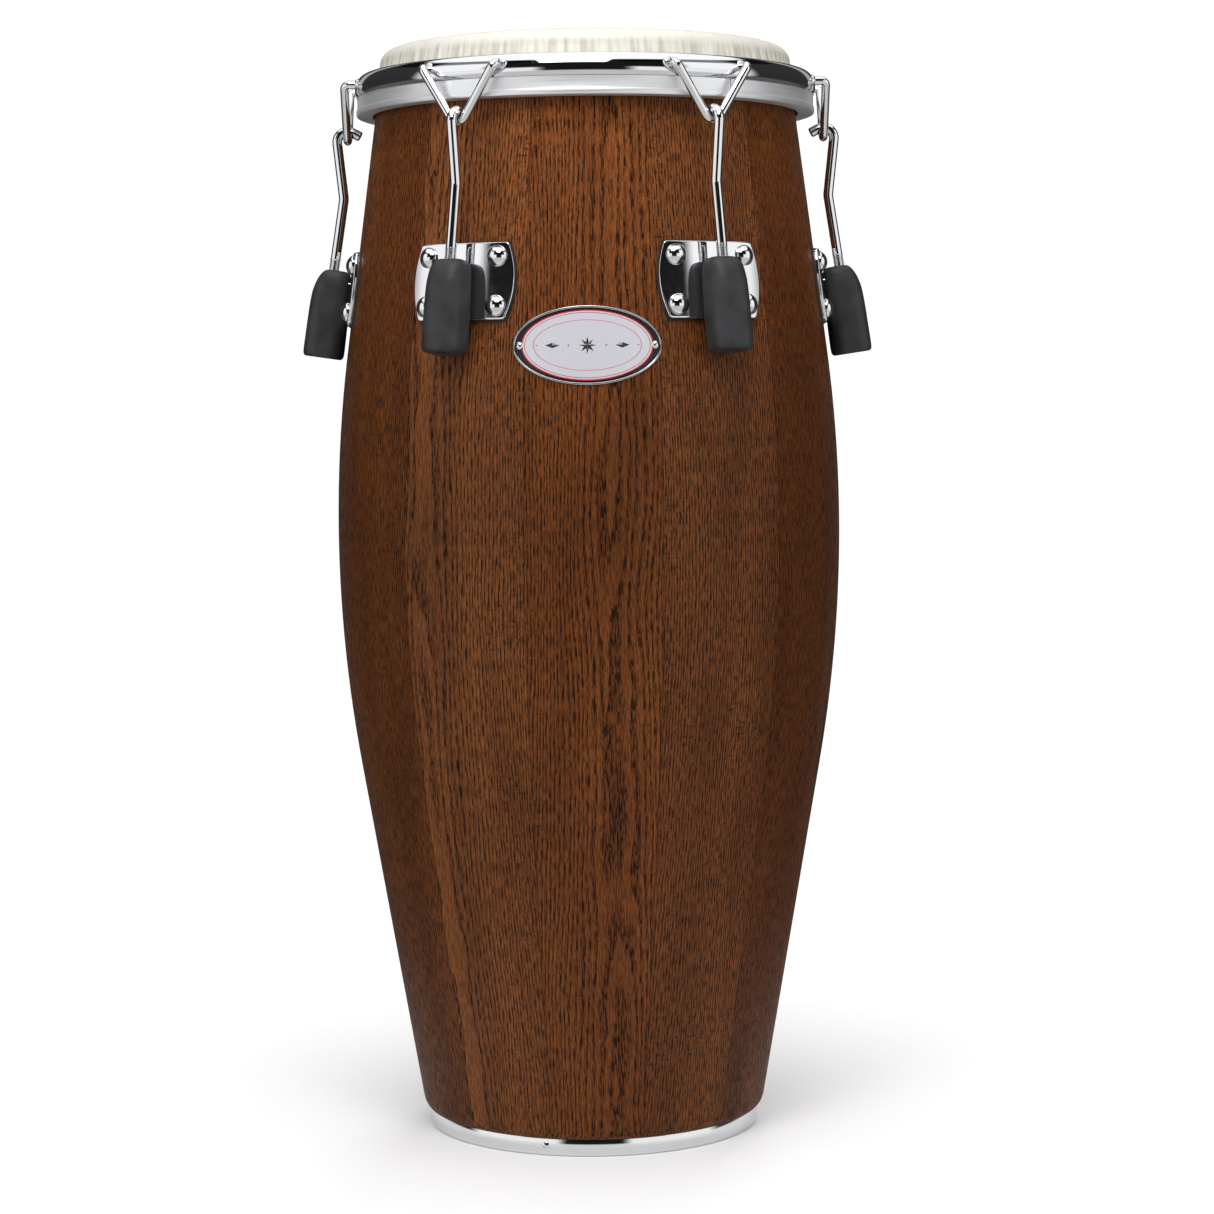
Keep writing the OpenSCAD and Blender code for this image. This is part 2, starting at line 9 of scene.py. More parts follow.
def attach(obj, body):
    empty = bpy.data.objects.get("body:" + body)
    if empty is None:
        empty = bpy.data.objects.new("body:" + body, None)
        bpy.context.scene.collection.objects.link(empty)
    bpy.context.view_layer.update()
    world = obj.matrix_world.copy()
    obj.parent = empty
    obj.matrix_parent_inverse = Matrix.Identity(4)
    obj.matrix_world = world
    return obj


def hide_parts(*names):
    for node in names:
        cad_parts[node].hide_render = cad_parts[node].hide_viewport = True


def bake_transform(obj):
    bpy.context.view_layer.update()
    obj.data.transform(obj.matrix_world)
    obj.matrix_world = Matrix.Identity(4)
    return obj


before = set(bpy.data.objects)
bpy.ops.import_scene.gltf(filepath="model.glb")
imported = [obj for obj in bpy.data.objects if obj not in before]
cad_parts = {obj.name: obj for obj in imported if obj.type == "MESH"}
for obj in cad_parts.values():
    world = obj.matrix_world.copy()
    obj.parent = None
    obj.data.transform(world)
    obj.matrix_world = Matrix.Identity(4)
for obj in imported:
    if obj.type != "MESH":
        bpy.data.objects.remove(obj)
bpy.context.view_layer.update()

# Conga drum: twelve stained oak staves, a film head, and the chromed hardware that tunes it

mm = 0.001
deg = math.pi / 180
merge_gap = 0.002 * mm

# ---- sizes, the same as the frame's own ----

# shell
top_z = 758.7 * mm
top_r = 143.6 * mm
belly_r = 178.1 * mm
foot_r = 117.65 * mm
belly_z = 425 * mm
top_bend = 0.36
foot_bend = 0.4
wall = 12 * mm
staves = 12
stave_turn = 30 * deg
first_joint = -104 * deg
edge_r = 10 * mm
foot_round = 8 * mm

# bottom band
band_h = 11.5 * mm
band_t = 1.2 * mm
band_flange = 4.5 * mm
band_inset = 3.5 * mm
band_screws = 3
first_screw = 13.4 * deg
screw_l = 6.5 * mm
screw_d = 2.5 * mm
screw_point = 2 * mm
screw_head_d = 5.6 * mm
screw_head_h = 1.4 * mm
screw_socket_z = 0.8 * mm

# tuning stations
lugs = 6
lug_z = 589.5 * mm
plate_w = 77 * mm
plate_h = 52 * mm
plate_bulge = 5.5 * mm
plate_back = 1.03 * mm
plate_front = 4 * mm
plate_corner = 3 * mm
plate_round = 1.1 * mm
bolt_dx = 53 * mm
bolt_dz = 33 * mm
bolt_d = 6 * mm
bolt_head_d = 14 * mm
bolt_head_h = 5 * mm
bolt_l = 20.1 * mm
bracket_h = 15 * mm
bracket_w = 14 * mm
bracket_bore = 9.2 * mm
bracket_reach = 15.1 * mm
bracket_round = 0.8 * mm

# hooks
rod_d = 7.1 * mm
thread_d = 7.94 * mm
thread_root_d = 6.3 * mm
thread_pitch = 25.4 / 18 * mm
rod_offset = 17.6025 * mm
rod_splay = 1.31 * deg
kink_dz = 65.5 * mm
kink_r = 14 * mm
thread_top_dz = 22.5 * mm
rod_end_dz = 40 * mm
curl_past = 28 * deg
tip_l = 6.5 * mm
tip_chamfer = 0.7 * mm
hook_gap = 0.35 * mm
curl_free = 1 * mm

# boots
boot_w = 28 * mm
boot_depth = 27.2 * mm
boot_h = 63 * mm
boot_top = 15 * mm
boot_low = boot_top - boot_h
boot_corner = 10.5 * mm
boot_foot_inset = 2.2 * mm
boot_flare = 3.4 * mm
boot_lip = 4 * mm
boot_bore = 17 * mm
boot_hole = 9.6 * mm
boot_top_hole = 8.54 * mm
slot_play = 0.5 * mm

# rim, V-loops, hoop and head
film_t = 0.45 * mm
rim_z = top_z + film_t - 33.9 * mm
rim_r = 164 * mm
rim_h = 15.6 * mm
rim_w = 10 * mm
rim_crown = 0.72
rim_waist = 0.26
rim_hollow = 0.4
loop_d = 6 * mm
loop_r = rim_r + 5.7 * mm
loop_half = 28.4 * mm
loop_drop = 32 * mm
loop_bend = 4 * mm
stub_rise = 0.6 * mm
weld_sunk = 1.2 * mm
stub_sunk = 2 * mm
hoop_bore_r = 151 * mm
hoop_lip_r = 163 * mm
hoop_h = 13 * mm
hoop_z = rim_z - hoop_h
lip_h = 4 * mm
lip_t = 0.8 * mm
shoulder_over = 0.5 * mm
shoulder_gap = 0.8 * mm
collar_bow = 0.45
collar_r = 147 * mm
film_columns = 960
fold_depth = 0.55 * mm
fold_mean = 0.75
fold_round = 2.6
fold_growth = 7 * mm

# badge
badge_w = 98 * mm
badge_h = 53 * mm
badge_t = 1.2 * mm
badge_back = 0.15 * mm
badge_face = 0.8 * mm
badge_sides = 144
badge_z = 546.5 * mm
badge_nail_dx = 89 * mm


def bend_share(t, bent):
    """Share of the whole drop in radius, t of the way from the belly to an end."""
    if t < bent:
        return t * t / (bent * (2 - bent))
    return (2 * t - bent) / (2 - bent)


def r_out(z):
    """Outside radius of the shell at a height."""
    if z > belly_z:
        return belly_r - (belly_r - top_r) * bend_share((z - belly_z) / (top_z - belly_z), top_bend)
    return belly_r - (belly_r - foot_r) * bend_share((belly_z - z) / belly_z, foot_bend)


def lean(z):
    """Lean of the wall from upright, inward going up."""
    return math.atan2(r_out(z - mm) - r_out(z + mm), 2 * mm)


lug_lean = lean(lug_z)
rod_lean = lug_lean + rod_splay
rod_r0 = r_out(lug_z) + rod_offset
loop_low_r = rod_d / 2 + loop_d / 2 + hook_gap
loop_z = rim_z - loop_drop + loop_d / 2
lug_angles = [60 * deg * k for k in range(lugs)]

# ---- modelling helpers ----


def deselect():
    """Object mode with nothing selected."""
    if bpy.context.mode != "OBJECT":
        bpy.ops.object.mode_set(mode="OBJECT")
    bpy.ops.object.select_all(action="DESELECT")


def in_hand(piece):
    """Object mode with one piece selected and active."""
    deselect()
    piece.select_set(True)
    bpy.context.view_layer.objects.active = piece


def work_on(piece):
    """Edit mode on one piece."""
    in_hand(piece)
    bpy.ops.object.mode_set(mode="EDIT")


def capped(piece):
    """Edit mode on one piece, with its open ends closed."""
    work_on(piece)
    bpy.ops.mesh.select_all(action="SELECT")
    bpy.ops.mesh.fill_holes(sides=0)


def named(name):
    """The object just added, under its own name."""
    piece = bpy.context.object
    piece.name = name
    piece.data.name = name
    return piece


def pick(piece, kind, test):
    """Selects the vertices, edges or faces of the piece in hand that pass a test."""
    bpy.ops.mesh.select_mode(type=kind)
    bpy.ops.mesh.select_all(action="DESELECT")
    mesh = bmesh.from_edit_mesh(piece.data)
    parts = {"VERT": mesh.verts, "EDGE": mesh.edges, "FACE": mesh.faces}[kind]
    for part in parts:
        if test(part):
            part.select_set(True)
    mesh.select_flush_mode()
    bmesh.update_edit_mesh(piece.data)


def shade(piece, angle=30):
    """Smooth shading, with a corner kept where faces meet at more than an angle."""
    in_hand(piece)
    bpy.ops.object.shade_smooth_by_angle(angle=angle * deg)
    return piece


def tidy(piece, angle=30):
    """Doubles merged, faces outward, smooth shading."""
    work_on(piece)
    bpy.ops.mesh.select_mode(type="VERT")
    bpy.ops.mesh.select_all(action="SELECT")
    bpy.ops.mesh.remove_doubles(threshold=merge_gap)
    bpy.ops.mesh.normals_make_consistent(inside=False)
    deselect()
    return shade(piece, angle)


def modified(piece, kind, **settings):
    """A modifier, applied."""
    in_hand(piece)
    modifier = piece.modifiers.new(kind.lower(), kind)
    for name, value in settings.items():
        setattr(modifier, name, value)
    bpy.ops.object.modifier_apply(modifier=modifier.name)
    return piece


def line(name, points):
    """A vertex drawn out along points, in edit mode with its last vertex selected."""
    deselect()
    bpy.ops.mesh.primitive_plane_add(size=mm)
    piece = named(name)
    bpy.ops.object.mode_set(mode="EDIT")
    bpy.ops.mesh.select_mode(type="VERT")
    bpy.ops.mesh.select_all(action="SELECT")
    bpy.ops.mesh.merge(type="CENTER")
    points = [Vector(point) for point in points]
    bpy.ops.transform.translate(value=points[0])
    for here, there in zip(points, points[1:]):
        bpy.ops.mesh.extrude_region_move(TRANSFORM_OT_translate={"value": there - here})
    return piece


def turned(name, outline, steps, start=0.0, turn=2 * math.pi, angle=30):
    """A piece turned about the Z axis from an outline of radii and heights."""
    points = [(r * math.cos(start), r * math.sin(start), z) for r, z in outline]
    piece = line(name, points)
    bpy.ops.mesh.select_all(action="SELECT")
    bpy.ops.mesh.spin(steps=steps, angle=-turn, center=(0, 0, 0), axis=(0, 0, 1))
    return tidy(piece, angle)


def cut_out(name, outline, thickness):
    """A flat plate with an outline in X and Y, and its back on the XY plane."""
    piece = line(name, [(x, y, 0) for x, y in outline + outline[:1]])
    bpy.ops.mesh.select_all(action="SELECT")
    bpy.ops.mesh.remove_doubles(threshold=merge_gap)
    bpy.ops.mesh.edge_face_add()
    bpy.ops.mesh.extrude_region_move(TRANSFORM_OT_translate={"value": (0, 0, thickness)})
    return tidy(piece)


def bent_bar(name, start, heading, size, path, sides=24, chamfer=0.0):
    """A round bar. Each step of its path is a straight length, or a new heading and a bend radius."""
    here = Vector(start)
    heading = Vector(heading).normalized()
    deselect()
    bpy.ops.mesh.primitive_circle_add(vertices=sides, radius=size / 2, fill_type="NOTHING")
    piece = named(name)
    piece.data.transform(heading.to_track_quat("Z", "Y").to_matrix().to_4x4())
    piece.data.transform(Matrix.Translation(here))
    bpy.ops.object.mode_set(mode="EDIT")
    bpy.ops.mesh.select_mode(type="VERT")
    bpy.ops.mesh.select_all(action="SELECT")
    for step in path:
        if isinstance(step, tuple):
            new_heading, radius = Vector(step[0]).normalized(), step[1]
            axis = heading.cross(new_heading).normalized()
            turn = heading.angle(new_heading)
            centre = here + radius * axis.cross(heading)
            steps = max(4, round(turn / (7 * deg)))
            bpy.ops.mesh.spin(steps=steps, angle=-turn, center=centre, axis=axis)
            here = centre + Matrix.Rotation(turn, 3, axis) @ (here - centre)
            heading = new_heading
        else:
            bpy.ops.mesh.extrude_region_move(TRANSFORM_OT_translate={"value": heading * step})
            here = here + heading * step
    if chamfer:
        bpy.ops.mesh.extrude_region_move(TRANSFORM_OT_translate={"value": heading * chamfer})
        share = 1 - 2 * chamfer / size
        bpy.ops.transform.resize(value=(share, share, share), center_override=here + heading * chamfer)
    bpy.ops.mesh.select_all(action="SELECT")
    bpy.ops.mesh.fill_holes(sides=0)
    return tidy(piece, 40)


def placed(piece, matrix):
    """The piece moved by its mesh, so that its object stays at the origin."""
    piece.data.transform(matrix)
    piece.data.update()
    return piece


def copied(piece, name, matrix):
    """A copy with its own mesh, moved."""
    copy = piece.copy()
    copy.data = piece.data.copy()
    copy.name = name
    copy.data.name = name
    bpy.context.scene.collection.objects.link(copy)
    return placed(copy, matrix)


def joined(name, pieces):
    """Several pieces as one."""
    deselect()
    for piece in pieces:
        piece.select_set(True)
    bpy.context.view_layer.objects.active = pieces[0]
    bpy.ops.object.join()
    return named(name)


def removed(piece):
    """A cutter or pattern that is done with."""
    bpy.data.objects.remove(piece, do_unlink=True)


def bored(piece, cutter):
    """The piece with a cutter's shape taken out of it."""
    modified(piece, "BOOLEAN", object=cutter, operation="DIFFERENCE", solver="MANIFOLD")
    removed(cutter)
    return piece


def sliced(piece, places):
    """The piece cut at places along X, so that it can follow a curve."""
    work_on(piece)
    for x in places:
        bpy.ops.mesh.select_all(action="SELECT")
        bpy.ops.mesh.bisect(plane_co=(x, 0, 0), plane_no=(1, 0, 0))
    deselect()
    return piece


def on_wall(angle, z):
    """Place on the shell with +X round the drum to the right, +Y up the wall and +Z outward."""
    tilt = lean(z)
    outward = Vector((math.cos(angle) * math.cos(tilt), math.sin(angle) * math.cos(tilt), math.sin(tilt)))
    across = Vector((-math.sin(angle), math.cos(angle), 0))
    up = outward.cross(across)
    matrix = Matrix((across, up, outward)).transposed().to_4x4()
    return Matrix.Translation((r_out(z) * math.cos(angle), r_out(z) * math.sin(angle), z)) @ matrix


def wrapped(piece, angle, z):
    """A flat piece laid on the shell's curve, its middle at an angle and a height."""
    tilt = lean(z)
    for vertex in piece.data.vertices:
        x, y, out = vertex.co
        height = z + y * math.cos(tilt)
        turn = angle + math.asin(x / r_out(height))
        r = r_out(height) + out * math.cos(tilt)
        vertex.co = (r * math.cos(turn), r * math.sin(turn), height + out * math.sin(tilt))
    piece.data.update()
    return piece


def on_rod(angle):
    """Place on a rod's axis at the height of the plates, with +X away from the drum and +Z up the rod."""
    return (Matrix.Rotation(angle, 4, "Z") @ Matrix.Translation((rod_r0, 0, lug_z))
            @ Matrix.Rotation(-rod_lean, 4, "Y"))


def done(piece, body, slot, materials, *nodes):
    """Finishes a piece: its materials, its body and what it stands for."""
    if materials:
        piece.data.materials.clear()
    for material in materials:
        piece.data.materials.append(material)
    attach(piece, body)
    if nodes:
        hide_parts(*nodes)
    return piece


# ---- materials ----


def linear(colour):
    """An sRGB hex colour as linear red, green, blue and alpha."""
    shares = [int(colour[k:k + 2], 16) / 255 for k in (1, 3, 5)]
    return [s / 12.92 if s <= 0.04045 else ((s + 0.055) / 1.055) ** 2.4 for s in shares] + [1.0]


def every(size):
    """Texture scale for a pattern that repeats at a size in metres."""
    return 1 / size


def add(tree, kind, inputs=None, ramp=None, **settings):
    """Adds a node with its settings, and sets or links its inputs."""
    made = tree.nodes.new("ShaderNode" + kind)
    for name, value in settings.items():
        setattr(made, name, value)
    for socket, value in (inputs or {}).items():
        if isinstance(value, bpy.types.NodeSocket):
            tree.links.new(value, made.inputs[socket])
        else:
            made.inputs[socket].default_value = value
    if ramp:
        stops = made.color_ramp.elements
        for place, _ in ramp[2:]:
            stops.new(place)
        for stop, (place, colour) in zip(stops, ramp):
            stop.position = place
            stop.color = linear(colour) if isinstance(colour, str) else (colour, colour, colour, 1)
    return made


def new_material(name):
    """An empty material with its shader."""
    material = bpy.data.materials.new(name)
    material.use_nodes = True
    tree = material.node_tree
    return material, tree, tree.nodes["Principled BSDF"]


def oak(name, pale, brown, dark, pore, roughness, coat, pore_depth):
    """Oak cut from boards: growth rings round each board's pith, open pores along the grain, and ray
    fleck where the face runs along the rays. The board's own coordinates follow its bend."""
    ring_gap = 2.0 * mm
    # pores are drawn about 1 mm wide, coarser than real ones, so that they show
    pore_w = 1.0 * mm
    pore_l = 8.5 * mm
    material, tree, shader = new_material(name)
    board = add(tree, "Attribute", attribute_name="board").outputs["Vector"]
    pith = add(tree, "Attribute", attribute_name="pith").outputs["Vector"]
    stain_with_painted_highlight = add(tree, "Attribute", attribute_name="stain_with_painted_highlight").outputs["Vector"]
    joint = add(tree, "Attribute", attribute_name="joint").outputs["Fac"]
    pith_xyz = add(tree, "SeparateXYZ", {0: pith})
    pith_place = add(tree, "CombineXYZ", {0: pith_xyz.outputs[0], 1: pith_xyz.outputs[1]})
    # the rings wander slowly up the board, which draws the cathedral arches
    slow = add(tree, "VectorMath", {0: board, 1: (every(45 * mm), every(45 * mm), every(300 * mm))},
               operation="MULTIPLY")
    wander = add(tree, "TexNoise", {"Vector": slow.outputs[0], "Scale": 1.0, "Detail": 1.5})
    quick = add(tree, "VectorMath", {0: board, 1: (every(9 * mm), every(9 * mm), every(70 * mm))},
                operation="MULTIPLY")
    waver = add(tree, "TexNoise", {"Vector": quick.outputs[0], "Scale": 1.0, "Detail": 2.0})
    spot = add(tree, "VectorMath", {0: board, 1: (1, 1, 0)}, operation="MULTIPLY")
    from_pith = add(tree, "VectorMath", {0: spot.outputs[0], 1: pith_place.outputs[0]},
                    operation="SUBTRACT")
    away = add(tree, "VectorMath", {0: from_pith.outputs[0]}, operation="LENGTH")
    wander_mm = add(tree, "Math", {0: wander.outputs["Fac"], 1: pith_xyz.outputs[2]}, operation="MULTIPLY")
    waver_mm = add(tree, "Math", {0: waver.outputs["Fac"], 1: 3.2 * mm}, operation="MULTIPLY")
    ring_r = add(tree, "Math", {0: away.outputs["Value"], 1: wander_mm.outputs[0]}, operation="ADD")
    ring_r = add(tree, "Math", {0: ring_r.outputs[0], 1: waver_mm.outputs[0]}, operation="ADD")
    rings = add(tree, "Math", {0: ring_r.outputs[0], 1: every(ring_gap)}, operation="MULTIPLY")
    phase = add(tree, "Math", {0: rings.outputs[0]}, operation="FRACT")
    # spring wood is a band of pores that takes the stain, summer wood is plain
    spring = add(tree, "ValToRGB", {0: phase.outputs[0]},
                 ramp=[(0.0, 0.0), (0.1, 1.0), (0.34, 0.75), (0.62, 0.08), (1.0, 0.0)])
    fine = add(tree, "VectorMath", {0: board, 1: (every(pore_w), every(pore_w), every(pore_l))},
               operation="MULTIPLY")
    pores = add(tree, "TexNoise", {"Vector": fine.outputs[0], "Scale": 1.0, "Detail": 2.0, "Roughness": 0.6})
    pore_line = add(tree, "MapRange", {"Value": pores.outputs["Fac"], "From Min": 0.48, "From Max": 0.525})
    band = add(tree, "MapRange", {"Value": spring.outputs["Color"], "To Min": 0.42, "To Max": 1.0})
    pore_mask = add(tree, "Math", {0: pore_line.outputs[0], 1: band.outputs[0]}, operation="MULTIPLY")
    # ray fleck, short up the board and long across it
    square = add(tree, "VectorMath", {0: from_pith.outputs[0], 1: from_pith.outputs[0]},
                 operation="MULTIPLY")
    square_x = add(tree, "SeparateXYZ", {0: square.outputs[0]})
    square_r = add(tree, "Math", {0: away.outputs["Value"], 1: 2.0}, operation="POWER")
    radial = add(tree, "Math", {0: square_x.outputs[0], 1: square_r.outputs[0]}, operation="DIVIDE")
    radial_face = add(tree, "MapRange", {"Value": radial.outputs[0], "From Min": 0.45, "From Max": 0.8})
    ray_place = add(tree, "VectorMath", {0: board, 1: (every(6 * mm), every(6 * mm), every(2.4 * mm))},
                    operation="MULTIPLY")
    ray = add(tree, "TexNoise", {"Vector": ray_place.outputs[0], "Scale": 1.0, "Detail": 3.0})
    ray_mark = add(tree, "MapRange", {"Value": ray.outputs["Fac"], "From Min": 0.54, "From Max": 0.66})
    patch_place = add(tree, "VectorMath", {0: board, 1: (every(30 * mm), every(30 * mm), every(55 * mm))},
                      operation="MULTIPLY")
    patch = add(tree, "TexNoise", {"Vector": patch_place.outputs[0], "Scale": 1.0, "Detail": 2.0})
    patch_mark = add(tree, "MapRange", {"Value": patch.outputs["Fac"], "From Min": 0.42, "From Max": 0.6})
    fleck = add(tree, "Math", {0: ray_mark.outputs[0], 1: radial_face.outputs[0]}, operation="MULTIPLY")
    fleck = add(tree, "Math", {0: fleck.outputs[0], 1: patch_mark.outputs[0]}, operation="MULTIPLY")
    # colour: summer wood to spring wood, slow cloudiness, fleck, pores, then the joint
    cloud_place = add(tree, "VectorMath", {0: board, 1: (every(26 * mm), every(26 * mm), every(190 * mm))},
                      operation="MULTIPLY")
    cloud = add(tree, "TexNoise", {"Vector": cloud_place.outputs[0], "Scale": 1.0, "Detail": 3.0})
    cloud_mix = add(tree, "MapRange", {"Value": cloud.outputs["Fac"], "From Min": 0.3, "From Max": 0.7})
    ground = add(tree, "Mix", {"Factor": cloud_mix.outputs[0], 6: linear(pale), 7: linear(brown)},
                 data_type="RGBA")
    spring_part = add(tree, "Math", {0: spring.outputs["Color"], 1: 0.5}, operation="MULTIPLY")
    ringed = add(tree, "Mix", {"Factor": spring_part.outputs[0], 6: ground.outputs[2], 7: linear(dark)},
                 data_type="RGBA")
    # the board's stain, multiplied by a painted highlight that pales the wood toward the top
    stained_with_painted_highlight = add(tree, "Mix", {"Factor": 1.0, 6: ringed.outputs[2], 7: stain_with_painted_highlight}, data_type="RGBA",
                  blend_type="MULTIPLY")
    fleck_part = add(tree, "Math", {0: fleck.outputs[0], 1: 0.68}, operation="MULTIPLY")
    flecked = add(tree, "Mix", {"Factor": fleck_part.outputs[0], 6: stained_with_painted_highlight.outputs[2], 7: linear(dark)},
                  data_type="RGBA")
    pore_part = add(tree, "Math", {0: pore_mask.outputs[0], 1: 0.95}, operation="MULTIPLY")
    pored = add(tree, "Mix", {"Factor": pore_part.outputs[0], 6: flecked.outputs[2], 7: linear(pore)},
                data_type="RGBA")
    joint_line = add(tree, "MapRange", {"Value": joint, "From Min": 0.1 * mm, "From Max": 0.6 * mm,
                                        "To Min": 0.4, "To Max": 0.0})
    final = add(tree, "Mix", {"Factor": joint_line.outputs[0], 6: pored.outputs[2], 7: linear(pore)},
                data_type="RGBA")
    tree.links.new(final.outputs[2], shader.inputs["Base Color"])
    rough = add(tree, "MapRange", {"Value": pore_mask.outputs[0], "To Min": roughness,
                                   "To Max": min(1.0, roughness + 0.3)})
    tree.links.new(rough.outputs[0], shader.inputs["Roughness"])
    shader.inputs["Coat Weight"].default_value = coat
    shader.inputs["Coat Roughness"].default_value = 0.24
    shader.inputs["Specular IOR Level"].default_value = 0.1
    sunk = add(tree, "Math", {0: pore_mask.outputs[0], 1: -1.0}, operation="MULTIPLY")
    relief = add(tree, "Bump", {"Height": sunk.outputs[0], "Strength": 0.6, "Distance": pore_depth})
    tree.links.new(relief.outputs[0], shader.inputs["Normal"])
    return material


def metal(name, colour, roughness, grain=None, spread=0.03, bump=0.0):
    """A metal with a fine unevenness in its gloss. Grain is the pattern's size along X, Y and Z."""
    material, tree, shader = new_material(name)
    shader.inputs["Base Color"].default_value = linear(colour)
    shader.inputs["Metallic"].default_value = 1.0
    place = add(tree, "TexCoord").outputs["Object"]
    size = [every(g) for g in (grain or (4 * mm, 4 * mm, 4 * mm))]
    place = add(tree, "VectorMath", {0: place, 1: size}, operation="MULTIPLY")
    wear = add(tree, "TexNoise", {"Vector": place.outputs[0], "Scale": 1.0, "Detail": 4.0})
    rough = add(tree, "MapRange", {"Value": wear.outputs["Fac"], "From Min": 0.3, "From Max": 0.7,
                                   "To Min": roughness, "To Max": roughness + spread})
    tree.links.new(rough.outputs[0], shader.inputs["Roughness"])
    if bump:
        relief = add(tree, "Bump", {"Height": wear.outputs["Fac"], "Strength": 0.5, "Distance": bump})
        tree.links.new(relief.outputs[0], shader.inputs["Normal"])
    return material


# Oak under a dark brown stain and a semi-gloss lacquer that leaves the pores open
stained_oak = oak("stained_lacquered_oak", "#724220", "#5b3216", "#2f1708", "#0d0502", 0.5, 0.03, 0.2 * mm)
# The same oak inside the shell, planed and left without stain or lacquer
raw_oak = oak("bare_planed_oak", "#b08d63", "#9b7850", "#7c5a38", "#4a3320", 0.75, 0.0, 0.1 * mm)
# Chrome plate on polished steel: a mirror, with a faint unevenness from the plating
chrome = metal("chrome_plate", "#d9dadc", 0.035, spread=0.035)
# Zinc plate on steel nuts and washers: dull grey
zinc = metal("zinc_plate", "#b4b3ac", 0.32, spread=0.14, bump=0.01 * mm)
# Polished steel of the badge's raised edge and ornament
badge_steel = metal("polished_badge_steel", "#d0d1d4", 0.14, spread=0.08)


def brushed_aluminium():
    """Spun aluminium, brushed round the hoop: fine lines that run round it and blur its reflections."""
    material, tree, shader = new_material("brushed_aluminium")
    shader.inputs["Base Color"].default_value = linear("#e6e7e9")
    shader.inputs["Metallic"].default_value = 0.8
    place = add(tree, "SeparateXYZ", {0: add(tree, "TexCoord").outputs["Object"]})
    turn = add(tree, "Math", {0: place.outputs[1], 1: place.outputs[0]}, operation="ARCTAN2")
    arc = add(tree, "Math", {0: turn.outputs[0], 1: hoop_lip_r * every(60 * mm)}, operation="MULTIPLY")
    # brush lines are drawn 0.5 mm apart, coarser than real ones, so that they show
    height = add(tree, "Math", {0: place.outputs[2], 1: every(0.5 * mm)}, operation="MULTIPLY")
    lines_at = add(tree, "CombineXYZ", {0: arc.outputs[0], 2: height.outputs[0]})
    lines = add(tree, "TexNoise", {"Vector": lines_at.outputs[0], "Scale": 1.0, "Detail": 4.0})
    rough = add(tree, "MapRange", {"Value": lines.outputs["Fac"], "From Min": 0.3, "From Max": 0.7,
                                   "To Min": 0.34, "To Max": 0.52})
    tree.links.new(rough.outputs[0], shader.inputs["Roughness"])
    relief = add(tree, "Bump", {"Height": lines.outputs["Fac"], "Strength": 0.35, "Distance": 0.03 * mm})
    tree.links.new(relief.outputs[0], shader.inputs["Normal"])
    return material


aluminium = brushed_aluminium()


def rubber(name, colour, roughness):
    """Moulded rubber: matte, with the fine sparkle of a blasted mould and a little bloom."""
    material, tree, shader = new_material(name)
    place = add(tree, "TexCoord").outputs["Object"]
    bloom = add(tree, "TexNoise", {"Vector": place, "Scale": every(14 * mm), "Detail": 4.0})
    tone = add(tree, "ValToRGB", {0: bloom.outputs["Fac"]}, ramp=[(0.3, colour), (0.75, "#2b2c2e")])
    tree.links.new(tone.outputs["Color"], shader.inputs["Base Color"])
    grit = add(tree, "TexNoise", {"Vector": place, "Scale": every(0.7 * mm), "Detail": 2.0})
    rough = add(tree, "MapRange", {"Value": bloom.outputs["Fac"], "To Min": roughness,
                                   "To Max": roughness + 0.12})
    tree.links.new(rough.outputs[0], shader.inputs["Roughness"])
    relief = add(tree, "Bump", {"Height": grit.outputs["Fac"], "Strength": 0.3, "Distance": 0.05 * mm})
    tree.links.new(relief.outputs[0], shader.inputs["Normal"])
    shader.inputs["IOR"].default_value = 1.5
    return material


# The boots are soft moulded rubber, the gaskets are cut from rubber sheet
boot_rubber = rubber("moulded_rubber", "#161718", 0.5)
gasket_rubber = rubber("sheet_rubber", "#101011", 0.62)


